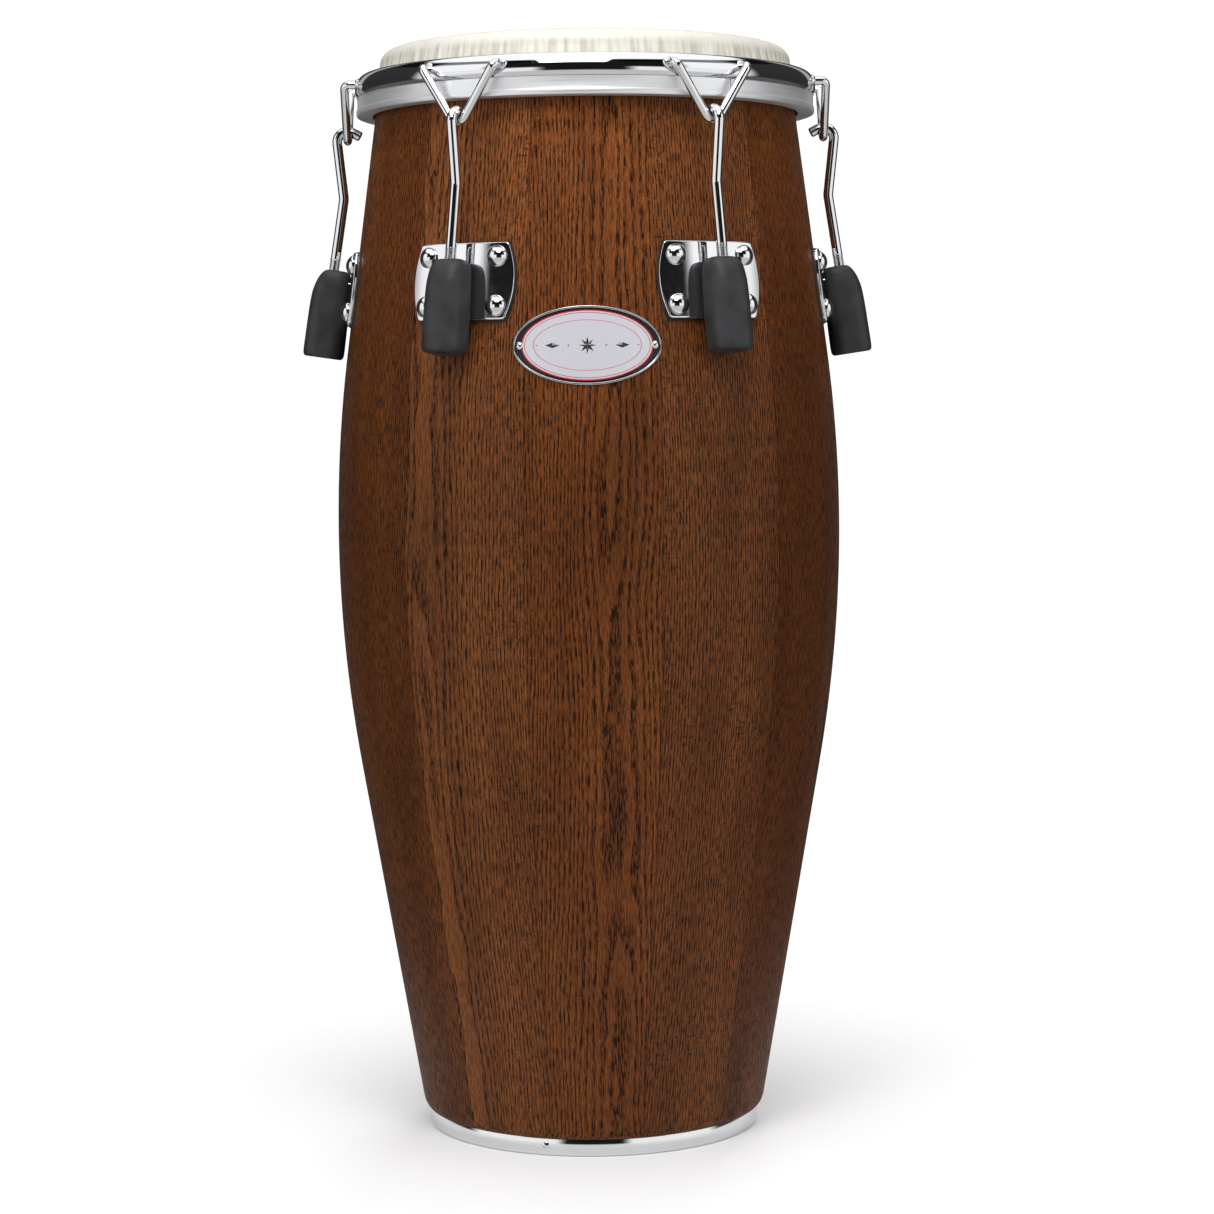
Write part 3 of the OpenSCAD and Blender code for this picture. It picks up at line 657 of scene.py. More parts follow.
def drum_film():
    """Formed polyester film: cream-white, lightly mottled, cloudy where it is stretched over the collar."""
    material, tree, shader = new_material("polyester_film")
    place = add(tree, "TexCoord").outputs["Object"]
    apart = add(tree, "SeparateXYZ", {0: place})
    turn = add(tree, "Math", {0: apart.outputs[1], 1: apart.outputs[0]}, operation="ARCTAN2")
    arc = add(tree, "Math", {0: turn.outputs[0], 1: collar_r * every(3.2 * mm)}, operation="MULTIPLY")
    rise = add(tree, "Math", {0: apart.outputs[2], 1: every(55 * mm)}, operation="MULTIPLY")
    streak_at = add(tree, "CombineXYZ", {0: arc.outputs[0], 1: rise.outputs[0]})
    streaks = add(tree, "TexNoise", {"Vector": streak_at.outputs[0], "Scale": 1.0, "Detail": 3.0})
    mottle = add(tree, "TexNoise", {"Vector": place, "Scale": every(7 * mm), "Detail": 5.0})
    on_collar = add(tree, "MapRange", {"Value": apart.outputs[2], "From Min": top_z - 4 * mm,
                                       "From Max": top_z - 11 * mm})
    even = add(tree, "MapRange", {"Value": mottle.outputs["Fac"], "From Min": 0.3, "From Max": 0.7,
                                  "To Min": 0.52, "To Max": 0.62})
    blend = add(tree, "Mix", {"Factor": on_collar.outputs[0], 2: even.outputs[0],
                              3: streaks.outputs["Fac"]}, data_type="FLOAT")
    tone = add(tree, "ValToRGB", {0: blend.outputs[0]},
               ramp=[(0.34, "#b5b0a1"), (0.5, "#cdc9bd"), (0.68, "#dbd8cf")])
    tree.links.new(tone.outputs["Color"], shader.inputs["Base Color"])
    rough = add(tree, "MapRange", {"Value": mottle.outputs["Fac"], "To Min": 0.36, "To Max": 0.56})
    tree.links.new(rough.outputs[0], shader.inputs["Roughness"])
    relief = add(tree, "Bump", {"Height": mottle.outputs["Fac"], "Strength": 0.25, "Distance": 0.06 * mm})
    tree.links.new(relief.outputs[0], shader.inputs["Normal"])
    shader.inputs["IOR"].default_value = 1.57
    shader.inputs["Subsurface Weight"].default_value = 0.2
    shader.inputs["Subsurface Radius"].default_value = (2.0, 1.8, 1.4)
    shader.inputs["Subsurface Scale"].default_value = mm
    return material


film = drum_film()


def enamel(name, colour, roughness):
    """Baked enamel: glossy colour with a faint orange peel."""
    material, tree, shader = new_material(name)
    place = add(tree, "TexCoord").outputs["Object"]
    peel = add(tree, "TexNoise", {"Vector": place, "Scale": every(1.6 * mm), "Detail": 2.0})
    dark = [c * 0.8 for c in linear(colour)[:3]] + [1.0]
    tone = add(tree, "Mix", {"Factor": peel.outputs["Fac"], 6: linear(colour), 7: dark}, data_type="RGBA")
    tree.links.new(tone.outputs[2], shader.inputs["Base Color"])
    relief = add(tree, "Bump", {"Height": peel.outputs["Fac"], "Strength": 0.15, "Distance": 0.03 * mm})
    tree.links.new(relief.outputs[0], shader.inputs["Normal"])
    shader.inputs["Roughness"].default_value = roughness
    shader.inputs["Coat Weight"].default_value = 0.6
    shader.inputs["Coat Roughness"].default_value = 0.06
    return material


# The badge's printed border and lines
black_enamel = enamel("black_enamel", "#17171a", 0.25)
red_enamel = enamel("red_enamel", "#b3202c", 0.3)


def silver_print():
    """Silver-grey print under clear lacquer, with the fine grain of metal flake."""
    material, tree, shader = new_material("silver_badge_print")
    place = add(tree, "TexCoord").outputs["Object"]
    flake = add(tree, "TexNoise", {"Vector": place, "Scale": every(0.35 * mm), "Detail": 2.0})
    tone = add(tree, "ValToRGB", {0: flake.outputs["Fac"]}, ramp=[(0.3, "#bdbcc4"), (0.7, "#d2d1d8")])
    tree.links.new(tone.outputs["Color"], shader.inputs["Base Color"])
    shader.inputs["Metallic"].default_value = 0.25
    shader.inputs["Roughness"].default_value = 0.42
    shader.inputs["Coat Weight"].default_value = 0.5
    shader.inputs["Coat Roughness"].default_value = 0.08
    return material


badge_print = silver_print()

# ---- staves ----

band_r = r_out(band_h) - band_inset
seat_r = band_r - band_t
round_z = band_h + foot_round
crest_z = top_z - edge_r

# Stain of each board against the average, from the front joint on round to the right
stains = [(1.08, 1.0, 0.86), (1.08, 1.07, 1.08), (0.86, 0.78, 0.64), (0.84, 0.78, 0.66),
          (1.05, 1.04, 1.0), (0.9, 0.84, 0.74), (1.0, 1.02, 1.03), (1.1, 1.02, 0.92),
          (0.86, 0.8, 0.7), (0.84, 0.78, 0.66), (0.9, 0.83, 0.68), (1.24, 1.26, 1.3)]
# Lightness of the stain at a few heights, with a painted highlight: the wood is painted paler toward the
# top, where the light from above falls
tones_with_painted_highlight = [(0, 0.96), (330 * mm, 1.0), (420 * mm, 0.86), (520 * mm, 1.0), (680 * mm, 1.4)]
# Where each board's pith was, across it and behind its face, and how far its rings wander
piths = [(14, -34, 16), (-130, -30, 9), (95, -60, 10), (-20, -55, 18), (210, -20, 7), (60, -70, 14),
         (-15, -48, 20), (-180, -25, 8), (25, -60, 17), (140, -45, 10), (-260, -8, 6), (-30, -31, 16)]

foot_edge = []
for k in range(13):
    a = (90 - 7.5 * k) * deg
    z = band_h + foot_round * (1 - math.sin(a))
    foot_edge.append((r_out(z) - (r_out(band_h) - band_r) * (1 - math.cos(a)), z))
side_steps = 56
wall_side = []
for k in range(1, side_steps):
    z = round_z + (crest_z - round_z) * k / side_steps
    wall_side.append((r_out(z), z))
top_edge = []
for k in range(13):
    a = 7.5 * k * deg
    top_edge.append((r_out(crest_z) - edge_r * (1 - math.cos(a)), crest_z + edge_r * math.sin(a)))
inner_steps = 28
inside = []
for k in range(inner_steps + 1):
    z = top_z - mm + (band_t - top_z + mm) * k / inner_steps
    inside.append((r_out(z) - wall, z))
stave_outline = ([(seat_r, band_t), (seat_r, band_h)] + foot_edge + wall_side + top_edge
                 + [(r_out(top_z) - wall + mm, top_z)] + inside)

first_stave = turned("stave", stave_outline + stave_outline[:1], 8, first_joint, stave_turn)
capped(first_stave)
half_turn = stave_turn / 2
stave_mid = first_joint + half_turn


def tone_with_painted_highlight_at(z):
    """The stain's lightness against the average, with painted light: a painted highlight makes it paler
    toward the top; it is darker above the belly.
    """
    low = tones_with_painted_highlight[0]
    for high in tones_with_painted_highlight[1:]:
        if z <= high[0]:
            return low[1] + (high[1] - low[1]) * (z - low[0]) / (high[0] - low[0])
        low = high
    return low[1]


def off_middle(place):
    """How far round from the middle of the first stave a point is."""
    return math.atan2(place.y, place.x) - stave_mid


pick(first_stave, "EDGE", lambda e: all(abs(abs(off_middle(v.co)) - half_turn) < 1e-4 for v in e.verts)
     and len({round(off_middle(f.calc_center_median()), 2) for f in e.link_faces}) == 2)
bpy.ops.mesh.bevel(offset=0.12 * mm, segments=2)
first_stave = modified(tidy(first_stave, 35), "WEIGHTED_NORMAL", weight=100, keep_sharp=True)
for k in range(staves):
    stave = copied(first_stave, f"oak_stave_{k + 1}", Matrix.Rotation(k * stave_turn, 4, "Z"))
    mesh = stave.data
    middle = stave_mid + k * stave_turn
    for name in ("board", "pith", "stain_with_painted_highlight"):
        mesh.attributes.new(name, "FLOAT_VECTOR", "POINT")
    mesh.attributes.new("joint", "FLOAT", "POINT")
    board, pith, stain_with_painted_highlight, joint = [mesh.attributes[name] for name in ("board", "pith", "stain_with_painted_highlight", "joint")]
    for vertex in mesh.vertices:
        r = math.hypot(vertex.co.x, vertex.co.y)
        turn = math.remainder(math.atan2(vertex.co.y, vertex.co.x) - middle, 2 * math.pi)
        board.data[vertex.index].vector = (r * turn, r - r_out(vertex.co.z), vertex.co.z + 2.7 * k)
        pith.data[vertex.index].vector = [value * mm for value in piths[k]]
        # the stain's lightness at this height holds a painted highlight toward the top
        tone = tone_with_painted_highlight_at(vertex.co.z)
        stain_with_painted_highlight.data[vertex.index].vector = [value * tone for value in stains[k]]
        joint.data[vertex.index].value = r * (half_turn - abs(turn))
    mesh.materials.append(stained_oak)
    mesh.materials.append(raw_oak)
    for face in mesh.polygons:
        depth = r_out(face.center.z) - math.hypot(face.center.x, face.center.y)
        face.material_index = 1 if depth > wall - 0.6 * mm and face.center.z < top_z - 0.5 * mm else 0
    done(stave, "shell", "oak", [], f"stave_{k + 1}")
removed(first_stave)

# ---- bottom band ----

soft = 0.4 * mm
band_outline = [(band_r - band_flange, band_t), (band_r - band_flange, soft),
                (band_r - band_flange + soft, 0), (band_r - 1.2 * mm, 0), (band_r - 0.5 * mm, 0.15 * mm),
                (band_r - 0.15 * mm, 0.5 * mm), (band_r, 1.2 * mm), (band_r, band_h - soft),
                (band_r - 0.12 * mm, band_h - 0.12 * mm), (band_r - soft, band_h), (seat_r, band_h),
                (seat_r, band_t), (band_r - band_flange, band_t)]
band = turned("foot_band", band_outline, 180)
done(band, "shell", "chrome", [chrome], "bottom_band")


def dome(d, h, edge, steps=8):
    """Outline of a domed head that stands on the XY plane, from its rim up to its middle."""
    cap = h - edge
    r = (d * d / 4 + cap * cap) / (2 * cap)
    reach = math.asin(d / 2 / r)
    return [(r * math.sin(reach * (1 - k / steps)), edge + cap - r + r * math.cos(reach * (1 - k / steps)))
            for k in range(steps)] + [(0, h)]


screw_outline = ([(0, -screw_l), (screw_d / 2, -screw_l + screw_point), (screw_d / 2, 0),
                  (screw_head_d / 2 - 0.2 * mm, 0), (screw_head_d / 2, 0.2 * mm)]
                 + dome(screw_head_d, screw_head_h, 0.4 * mm))
band_screw = turned("band_screw", screw_outline, 24)
# a hexagon socket in the head
deselect()
bpy.ops.mesh.primitive_cylinder_add(vertices=6, radius=screw_d / 2, depth=2 * mm,
                                    location=(0, 0, screw_socket_z + mm))
bored(band_screw, named("socket"))
screws = []
for k in range(band_screws):
    angle = first_screw + k * 2 * math.pi / band_screws
    place = (Matrix.Rotation(angle, 4, "Z") @ Matrix.Translation((band_r, 0, (band_h + band_t) / 2))
             @ Matrix.Rotation(math.pi / 2, 4, "Y"))
    screws.append(copied(band_screw, f"screw_{k}", place))
removed(band_screw)
screw_set = joined("foot_band_screws", screws)
done(shade(screw_set, 35), "shell", "chrome", [chrome], "band_screws")

# ---- side plates, brackets and bolts ----

side_r = ((plate_h / 2) ** 2 + plate_bulge ** 2) / (2 * plate_bulge)
right_side = []
side_reach = math.asin((plate_h / 2 - plate_corner) / side_r)
for k in range(-10, 11):
    a = side_reach * k / 10
    right_side.append((plate_w / 2 - side_r * (1 - math.cos(a)), side_r * math.sin(a)))
top_right = []
last_x, last_y = right_side[-1]
for k in range(1, 7):
    a = 90 * deg * k / 6
    top_right.append((last_x - plate_corner * (1 - math.cos(a)), last_y + plate_corner * math.sin(a)))
right_half = [(x, -y) for x, y in reversed(top_right)] + right_side + top_right
plate_outline = right_half + [(-x, -y) for x, y in right_half]
plate_flat = cut_out("side_plate", plate_outline, plate_front - plate_back)
work_on(plate_flat)
pick(plate_flat, "EDGE", lambda e: all(v.co.z > mm for v in e.verts))
bpy.ops.mesh.bevel(offset=plate_round, segments=4, profile=0.6)
plate_flat = sliced(tidy(plate_flat, 50), [x * mm for x in range(-38, 39, 2)])
placed(plate_flat, Matrix.Translation((0, 0, plate_back)))

bracket_outline = [(-bracket_reach, -bracket_w / 2), (0, -bracket_w / 2)]
for k in range(1, 16):
    a = (-90 + 180 * k / 16) * deg
    bracket_outline.append((bracket_w / 2 * math.cos(a), bracket_w / 2 * math.sin(a)))
bracket_outline += [(0, bracket_w / 2), (-bracket_reach, bracket_w / 2)]
bracket = placed(cut_out("bracket", bracket_outline, bracket_h), Matrix.Translation((0, 0, -bracket_h / 2)))
work_on(bracket)
pick(bracket, "EDGE", lambda e: e.calc_face_angle(0) > 60 * deg
     and max(v.co.x for v in e.verts) > -bracket_reach)
bpy.ops.mesh.bevel(offset=bracket_round, segments=3)
deselect()
bpy.ops.mesh.primitive_cylinder_add(vertices=40, radius=bracket_bore / 2, depth=2 * bracket_h)
bored(bracket, named("bore"))
shade(bracket, 35)

bolt_shank = bolt_d / 2
bolt_edge = bolt_head_d / 2
bolt_outline = ([(0, -bolt_l), (bolt_shank - 0.5 * mm, -bolt_l), (bolt_shank, -bolt_l + 0.5 * mm),
                 (bolt_shank, 0), (bolt_edge - 0.25 * mm, 0), (bolt_edge, 0.25 * mm),
                 (bolt_edge, 0.9 * mm)] + dome(bolt_head_d, bolt_head_h, 1.2 * mm, 12))
bolt = turned("bolt", bolt_outline, 32, angle=40)
bolts = []
for k, angle in enumerate(lug_angles):
    plate = wrapped(copied(plate_flat, "plate", Matrix.Identity(4)), angle, lug_z)
    arm = copied(bracket, "arm", on_rod(angle))
    whole = shade(joined(f"chrome_side_plate_{k + 1}", [plate, arm]), 40)
    modified(whole, "WEIGHTED_NORMAL", weight=50, keep_sharp=True)
    done(whole, "shell", "chrome", [chrome], f"side_plate_{k + 1}")
    for side in (-1, 1):
        for row in (-1, 1):
            bolt_at = lug_z + row * bolt_dz / 2
            turn = side * math.asin(bolt_dx / 2 / r_out(lug_z))
            seat = on_wall(angle + turn, bolt_at) @ Matrix.Translation((0, 0, plate_front))
            bolts.append(copied(bolt, "bolt_copy", seat))
done(shade(joined("plate_bolt_set", bolts), 40), "shell", "chrome", [chrome], "plate_bolts")
removed(bolt)
removed(plate_flat)
removed(bracket)

# ---- tuning hooks ----

rod_cos = math.cos(rod_lean)
thread_low = -rod_end_dz / rod_cos
thread_high = thread_top_dz / rod_cos
thread_turns = round((thread_high - thread_low) / thread_pitch)
root = thread_root_d / 2
crest = thread_d / 2
# one turn's profile, as radii and shares of the pitch
thread_profile = [(root, 0.0), (root, 0.14), (crest, 0.42), (crest, 0.58), (root, 0.86), (root, 1.0)]
thread = line("thread", [(r, 0, share * thread_pitch) for r, share in thread_profile])
modified(thread, "SCREW", axis="Z", screw_offset=thread_pitch, iterations=thread_turns, steps=22,
         render_steps=22, use_merge_vertices=True, merge_threshold=0.001 * mm)
capped(thread)
placed(tidy(thread, 50), Matrix.Translation((0, 0, thread_high - thread_turns * thread_pitch)))
placed(thread, on_rod(0))


def on_axis(dz):
    """Point of the first rod's axis, a height above the middle of the plate."""
    return Vector((rod_r0 - dz * math.tan(rod_lean), 0, lug_z + dz))


curl_r = loop_d / 2 + curl_free + rod_d / 2
curl_c = Vector((loop_r, 0, loop_z - curl_free + hook_gap))
kink = on_axis(kink_dz)
to_kink = kink - curl_c
curl_start = math.atan2(to_kink.z, to_kink.x) + math.acos(curl_r / to_kink.length)
leg_lean = -curl_start
kink_run = kink_r * math.tan((rod_lean + leg_lean) / 2)
leg_l = math.sqrt(to_kink.length_squared - curl_r ** 2) - kink_run
rod_up = Vector((-math.sin(rod_lean), 0, math.cos(rod_lean)))
leg_up = Vector((math.sin(leg_lean), 0, math.cos(leg_lean)))
tip_way = Vector((-math.cos(curl_past), 0, -math.sin(curl_past)))
shoulder_l = 0.5 * mm
lower_l = (kink - on_axis(thread_top_dz)).length - kink_run
hook_rod = bent_bar("hook_rod", on_axis(thread_top_dz) - rod_up * shoulder_l, rod_up, rod_d,
                    [lower_l + shoulder_l, (leg_up, kink_r), leg_l, (tip_way, curl_r),
                     tip_l - tip_chamfer], sides=28, chamfer=tip_chamfer)
for k, angle in enumerate(lug_angles):
    turn = Matrix.Rotation(angle, 4, "Z")
    parts = [copied(hook_rod, "rod", turn), copied(thread, "screw_thread", turn)]
    hook = shade(joined(f"chrome_hook_{k + 1}", parts), 40)
    done(hook, f"hook_{k + 1}", "chrome", [chrome], f"tuning_hook_{k + 1}")
removed(hook_rod)
removed(thread)

# ---- rubber boots ----


def boot():
    """A soft block, drawn up from its rounded foot in slices that narrow towards the top."""
    deselect()
    bpy.ops.mesh.primitive_plane_add(size=1)
    piece = named("boot")
    bpy.ops.object.mode_set(mode="EDIT")
    bpy.ops.mesh.select_all(action="SELECT")
    bpy.ops.transform.resize(value=(boot_depth + boot_flare / 2, boot_w, 1))
    bpy.ops.mesh.bevel(offset=boot_corner, segments=8, affect="VERTICES")
    bpy.ops.transform.translate(value=(0, 0, boot_low))
    # millimetres: height above the foot, width, depth, and where the middle of the depth lies
    slices = [(0.0, 23.0, 24.6, -0.75), (0.5, 25.2, 26.6, -0.8), (1.6, 26.9, 28.2, -0.85),
              (3.4, 27.8, 28.9, -0.9), (9, 28.0, 28.9, -0.85), (20, 28.0, 28.6, -0.7),
              (32, 27.8, 28.2, -0.45), (42, 27.5, 27.5, -0.35), (47.5, 27.1, 26.6, -0.5),
              (48.3, 26.9, 26.3, -0.6), (53, 26.4, 24.9, -0.95), (56.5, 25.6, 23.2, -1.45),
              (59.2, 24.4, 21.2, -1.95), (61.3, 22.4, 18.9, -2.35), (62.5, 19.8, 16.4, -2.6),
              (63, 16.4, 12.8, -2.7)]
    wide, deep, middle, height = boot_w, boot_depth + boot_flare / 2, 0.0, 0.0
    for k, (new_height, new_wide, new_deep, new_middle) in enumerate(slices):
        new_height, new_wide = new_height * mm, new_wide * mm
        new_deep, new_middle = new_deep * mm, new_middle * mm
        if k:
            bpy.ops.mesh.extrude_region_move(
                TRANSFORM_OT_translate={"value": (0, 0, new_height - height)})
        bpy.ops.transform.resize(value=(new_deep / deep, new_wide / wide, 1),
                                 center_override=(middle, 0, boot_low + new_height))
        bpy.ops.transform.translate(value=(new_middle - middle, 0, 0))
        wide, deep, middle, height = new_wide, new_deep, new_middle, new_height
    return tidy(piece, 60)


boot_one = boot()
work_on(boot_one)
pick(boot_one, "FACE", lambda f: len(f.verts) > 8)
for _ in range(2):
    bpy.ops.mesh.inset(thickness=boot_foot_inset)
deselect()
modified(boot_one, "SUBSURF", levels=2, render_levels=2)
hollow_top = bracket_h / 2 + slot_play
bore_outline = [(0, boot_low - mm), (boot_hole / 2 + 0.9 * mm, boot_low - mm),
                (boot_hole / 2, boot_low + 0.5 * mm), (boot_hole / 2, boot_low + boot_lip),
                (boot_bore / 2, boot_low + boot_lip), (boot_bore / 2, hollow_top),
                (boot_top_hole / 2, hollow_top),
                (boot_top_hole / 2, boot_top - mm), (boot_top_hole / 2 + 1.2 * mm, boot_top + mm),
                (0, boot_top + mm)]
bored(boot_one, turned("bore", bore_outline, 40))
deselect()
bpy.ops.mesh.primitive_cube_add(size=1)
slot_cut = named("slot_cut")
slot_wide = bracket_w + 2 * slot_play
slot_high = bracket_h + 2 * slot_play
placed(slot_cut, Matrix.Translation((-boot_depth / 2, 0, 0))
       @ Matrix.Diagonal((boot_depth, slot_wide, slot_high, 1)))
bored(boot_one, slot_cut)
for k, angle in enumerate(lug_angles):
    cover = shade(copied(boot_one, f"soft_boot_{k + 1}", on_rod(angle)), 45)
    done(cover, "shell", "black_rubber", [boot_rubber], f"rubber_boot_{k + 1}")
removed(boot_one)

# ---- rim, V-loops and flesh hoop ----

crown_r = rim_r - rim_w * rim_crown
waist_z = rim_z + rim_h * rim_waist
reach = rim_r - crown_r
rise = rim_h * (1 - rim_waist)
inner_r = rim_r - rim_w
rim_outline = [(inner_r, rim_z + 0.5 * mm), (inner_r + 0.5 * mm, rim_z), (rim_r - reach * 0.22, rim_z)]
for k in range(-4, 19):
    a = 5 * k * deg
    rim_outline.append((crown_r + reach * math.cos(a), waist_z + rise * math.sin(a) * (0.6 if k < 0 else 1)))
for k in range(19, 37):
    a = 5 * k * deg
    rim_outline.append((crown_r + (crown_r - inner_r) * math.cos(a),
                        waist_z + rise * (1 - rim_hollow + rim_hollow * math.sin(a))))
rim_outline.append(rim_outline[0])
rim = turned("chrome_rim", rim_outline, 216)
done(rim, "rim", "chrome", [chrome], "rim")

stub_z = rim_z + rim_h / 2 + stub_rise
loop_c = loop_z + loop_low_r
loop_rise = stub_z - loop_c
loop_reach = math.hypot(loop_half, loop_rise)
loop_lean = math.atan2(loop_half, loop_rise) - math.asin(loop_low_r / loop_reach)
loop_leg = math.sqrt(loop_reach ** 2 - loop_low_r ** 2) - loop_bend
weld_r = math.sqrt((rim_r - weld_sunk) ** 2 - loop_half ** 2)
stub_l = loop_r - loop_bend - (weld_r - stub_sunk)
down = (0, math.sin(loop_lean), -math.cos(loop_lean))
up = (0, math.sin(loop_lean), math.cos(loop_lean))
v_bar = bent_bar("v_bar", (weld_r - stub_sunk, -loop_half, stub_z), (1, 0, 0), loop_d,
                 [stub_l, (down, loop_bend), loop_leg, (up, loop_low_r), loop_leg, ((-1, 0, 0), loop_bend),
                  stub_l], sides=28)
# a small bead of weld metal round each stub where it enters the rim
bead_outline = [(2.6 * mm, -1.6 * mm), (4.3 * mm, -1.6 * mm), (4.15 * mm, -0.5 * mm), (3.7 * mm, 0.1 * mm),
                (3.25 * mm, 0.5 * mm), (3.0 * mm, 0.8 * mm), (2.6 * mm, 0.8 * mm), (2.6 * mm, -1.6 * mm)]
bead = turned("bead", bead_outline, 28, angle=60)
beads = []
for side in (-1, 1):
    place = (Matrix.Translation((weld_r + 0.6 * mm, side * loop_half, stub_z))
             @ Matrix.Rotation(-side * 6 * deg, 4, "Z") @ Matrix.Rotation(math.pi / 2, 4, "Y"))
    beads.append(copied(bead, "bead_copy", place))
for k, angle in enumerate(lug_angles):
    turn = Matrix.Rotation(angle, 4, "Z")
    loop = joined(f"chrome_v_loop_{k + 1}", [copied(part, "part", turn) for part in [v_bar] + beads])
    done(shade(loop, 50), "rim", "chrome", [chrome], f"v_loop_{k + 1}")
for part in [v_bar, bead] + beads:
    removed(part)

nick = 0.45 * mm
lip_z = hoop_z + lip_h
face_r = hoop_lip_r - lip_t
hoop_outline = [(hoop_bore_r, hoop_z + nick), (hoop_bore_r + nick, hoop_z), (hoop_lip_r - 1.4 * mm, hoop_z),
                (hoop_lip_r - 0.4 * mm, hoop_z + 0.4 * mm), (hoop_lip_r, hoop_z + 1.4 * mm),
                (hoop_lip_r, lip_z - 0.5 * mm), (hoop_lip_r - 0.2 * mm, lip_z),
                (face_r + 0.2 * mm, lip_z + 0.3 * mm), (face_r, lip_z + 0.9 * mm),
                (face_r, rim_z - nick), (face_r - nick, rim_z),
                (hoop_bore_r, rim_z), (hoop_bore_r, hoop_z + nick)]
# the hoop is rolled from bar, and its two ends meet in a fine joint
joint_angle = -53 * deg
joint_gap = 0.09 * deg
hoop = turned("brushed_flesh_hoop", hoop_outline, 240, joint_angle + joint_gap, 2 * math.pi - 2 * joint_gap)
capped(hoop)
done(tidy(hoop), "rim", "satin_aluminium", [aluminium], "flesh_hoop")

# ---- drumhead ----

shoulder_h = edge_r + shoulder_over
shoulder_r = r_out(crest_z) - edge_r
shoulder_w = edge_r + shoulder_gap
shoulder_z = top_z - shoulder_h
end_r = shoulder_r + shoulder_w
groove_r = hoop_bore_r + 1.5 * mm + (1.2 * mm - film_t) / 2
tuck_z = rim_z - 2 * mm
bow_r = end_r + collar_bow * (groove_r - end_r)
bow_z = rim_z + collar_bow * (shoulder_z - rim_z)


def collar_point(share):
    """Point of the collar's inner line, from the shoulder down to the hoop, rounded at its knee."""
    a, b, c = Vector((end_r, shoulder_z)), Vector((bow_r, bow_z)), Vector((groove_r, tuck_z))
    line_point = a.lerp(b, share / 0.5) if share < 0.5 else b.lerp(c, (share - 0.5) / 0.5)
    curve_point = a.lerp(b, share).lerp(b.lerp(c, share), share)
    return tuple(line_point.lerp(curve_point, 0.6))


collar_steps = 14
crown_line = [(0, top_z + film_t), (shoulder_r * 0.4, top_z + film_t), (shoulder_r * 0.8, top_z + film_t)]
outer_line = [(shoulder_r + (shoulder_w + film_t) * math.cos(a * deg),
               shoulder_z + (shoulder_h + film_t) * math.sin(a * deg)) for a in range(90, -1, -9)]
collar_line = [collar_point(k / collar_steps) for k in range(1, collar_steps + 1)]
outer_line += [(r + film_t, z) for r, z in collar_line]
inner_line = collar_line[::-1]
inner_line += [(shoulder_r + shoulder_w * math.cos(a * deg), shoulder_z + shoulder_h * math.sin(a * deg))
               for a in range(0, 91, 15)]
film_outline = crown_line + outer_line + inner_line + [(shoulder_r * 0.6, top_z), (0, top_z)]
head = turned("film_head", film_outline, film_columns, angle=60)

# pleats: the film gathers in rounded folds with creases between them, at uneven distances
pleats = random.Random(7)
creases = [0.0]
while creases[-1] < 360:
    creases.append(creases[-1] + pleats.uniform(1.5, 4.6))
creases[-1] = 360.0
swell = [pleats.uniform(0.35, 1.0) for _ in creases]
starts = [pleats.uniform(2.5, 9.0) * mm for _ in creases]
for vertex in head.data.vertices:
    x, y, z = vertex.co
    drop = top_z - z
    if drop < 1.5 * mm:
        continue
    angle = math.degrees(math.atan2(y, x)) % 360
    k = max(j for j, crease in enumerate(creases) if crease <= angle)
    share = (angle - creases[k]) / (creases[k + 1] - creases[k])
    bulge = (1 - abs(2 * share - 1) ** fold_round) * swell[k]
    near = starts[k] + (starts[(k + 1) % len(starts)] - starts[k]) * share
    fade = min(1.0, max(0.0, (drop - near) / fold_growth))
    fade = fade * fade * (3 - 2 * fade)
    tucked = min(1.0, max(0.0, (z - tuck_z) / (6 * mm)))
    r = math.hypot(x, y)
    new_r = r - fold_depth * (fold_mean - bulge) * fade * tucked
    vertex.co = (x * new_r / r, y * new_r / r, z)
head.data.update()
head.data.materials.append(film)
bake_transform(head)
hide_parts("drumhead", "drumhead_collar")

# ---- badge ----

# The finishes of the plate: polished edge, black border, red line and silver print
polished, black, red, silver = 0, 1, 2, 3
# millimetres: how far each line of the plate lies in from the tips and from the top, and its height;
# then the finish inside it
badge_lines = [(0.0, 0.0, 0.15, polished), (0.0, 0.0, 0.75, polished), (0.2, 0.2, 1.05, polished),
               (0.5, 0.5, 1.2, polished), (1.1, 1.1, 1.2, polished), (1.4, 1.4, 1.0, polished),
               (1.5, 1.5, 0.8, black), (5.6, 2.9, 0.8, red), (6.5, 3.7, 0.8, silver),
               (7.6, 4.6, 0.8, red), (8.0, 5.0, 0.8, silver), (13.4, 9.6, 0.8, red),
               (13.8, 9.9, 0.8, silver)]
deselect()
bpy.ops.mesh.primitive_circle_add(vertices=badge_sides, radius=1, fill_type="NOTHING")
badge_plate = named("badge_plate")
bpy.ops.object.mode_set(mode="EDIT")
bpy.ops.mesh.select_all(action="SELECT")
half_w, half_h, height = badge_w / 2, badge_h / 2, badge_back
bpy.ops.transform.resize(value=(half_w, half_h, 1))
bpy.ops.transform.translate(value=(0, 0, height))
for from_tip, from_top, new_height, _ in badge_lines[1:]:
    new_height = new_height * mm
    bpy.ops.mesh.extrude_region_move(TRANSFORM_OT_translate={"value": (0, 0, new_height - height)})
    new_w, new_h = badge_w / 2 - from_tip * mm, badge_h / 2 - from_top * mm
    bpy.ops.transform.resize(value=(new_w / half_w, new_h / half_h, 1), center_override=(0, 0, new_height))
    half_w, half_h, height = new_w, new_h, new_height
bpy.ops.mesh.edge_face_add()
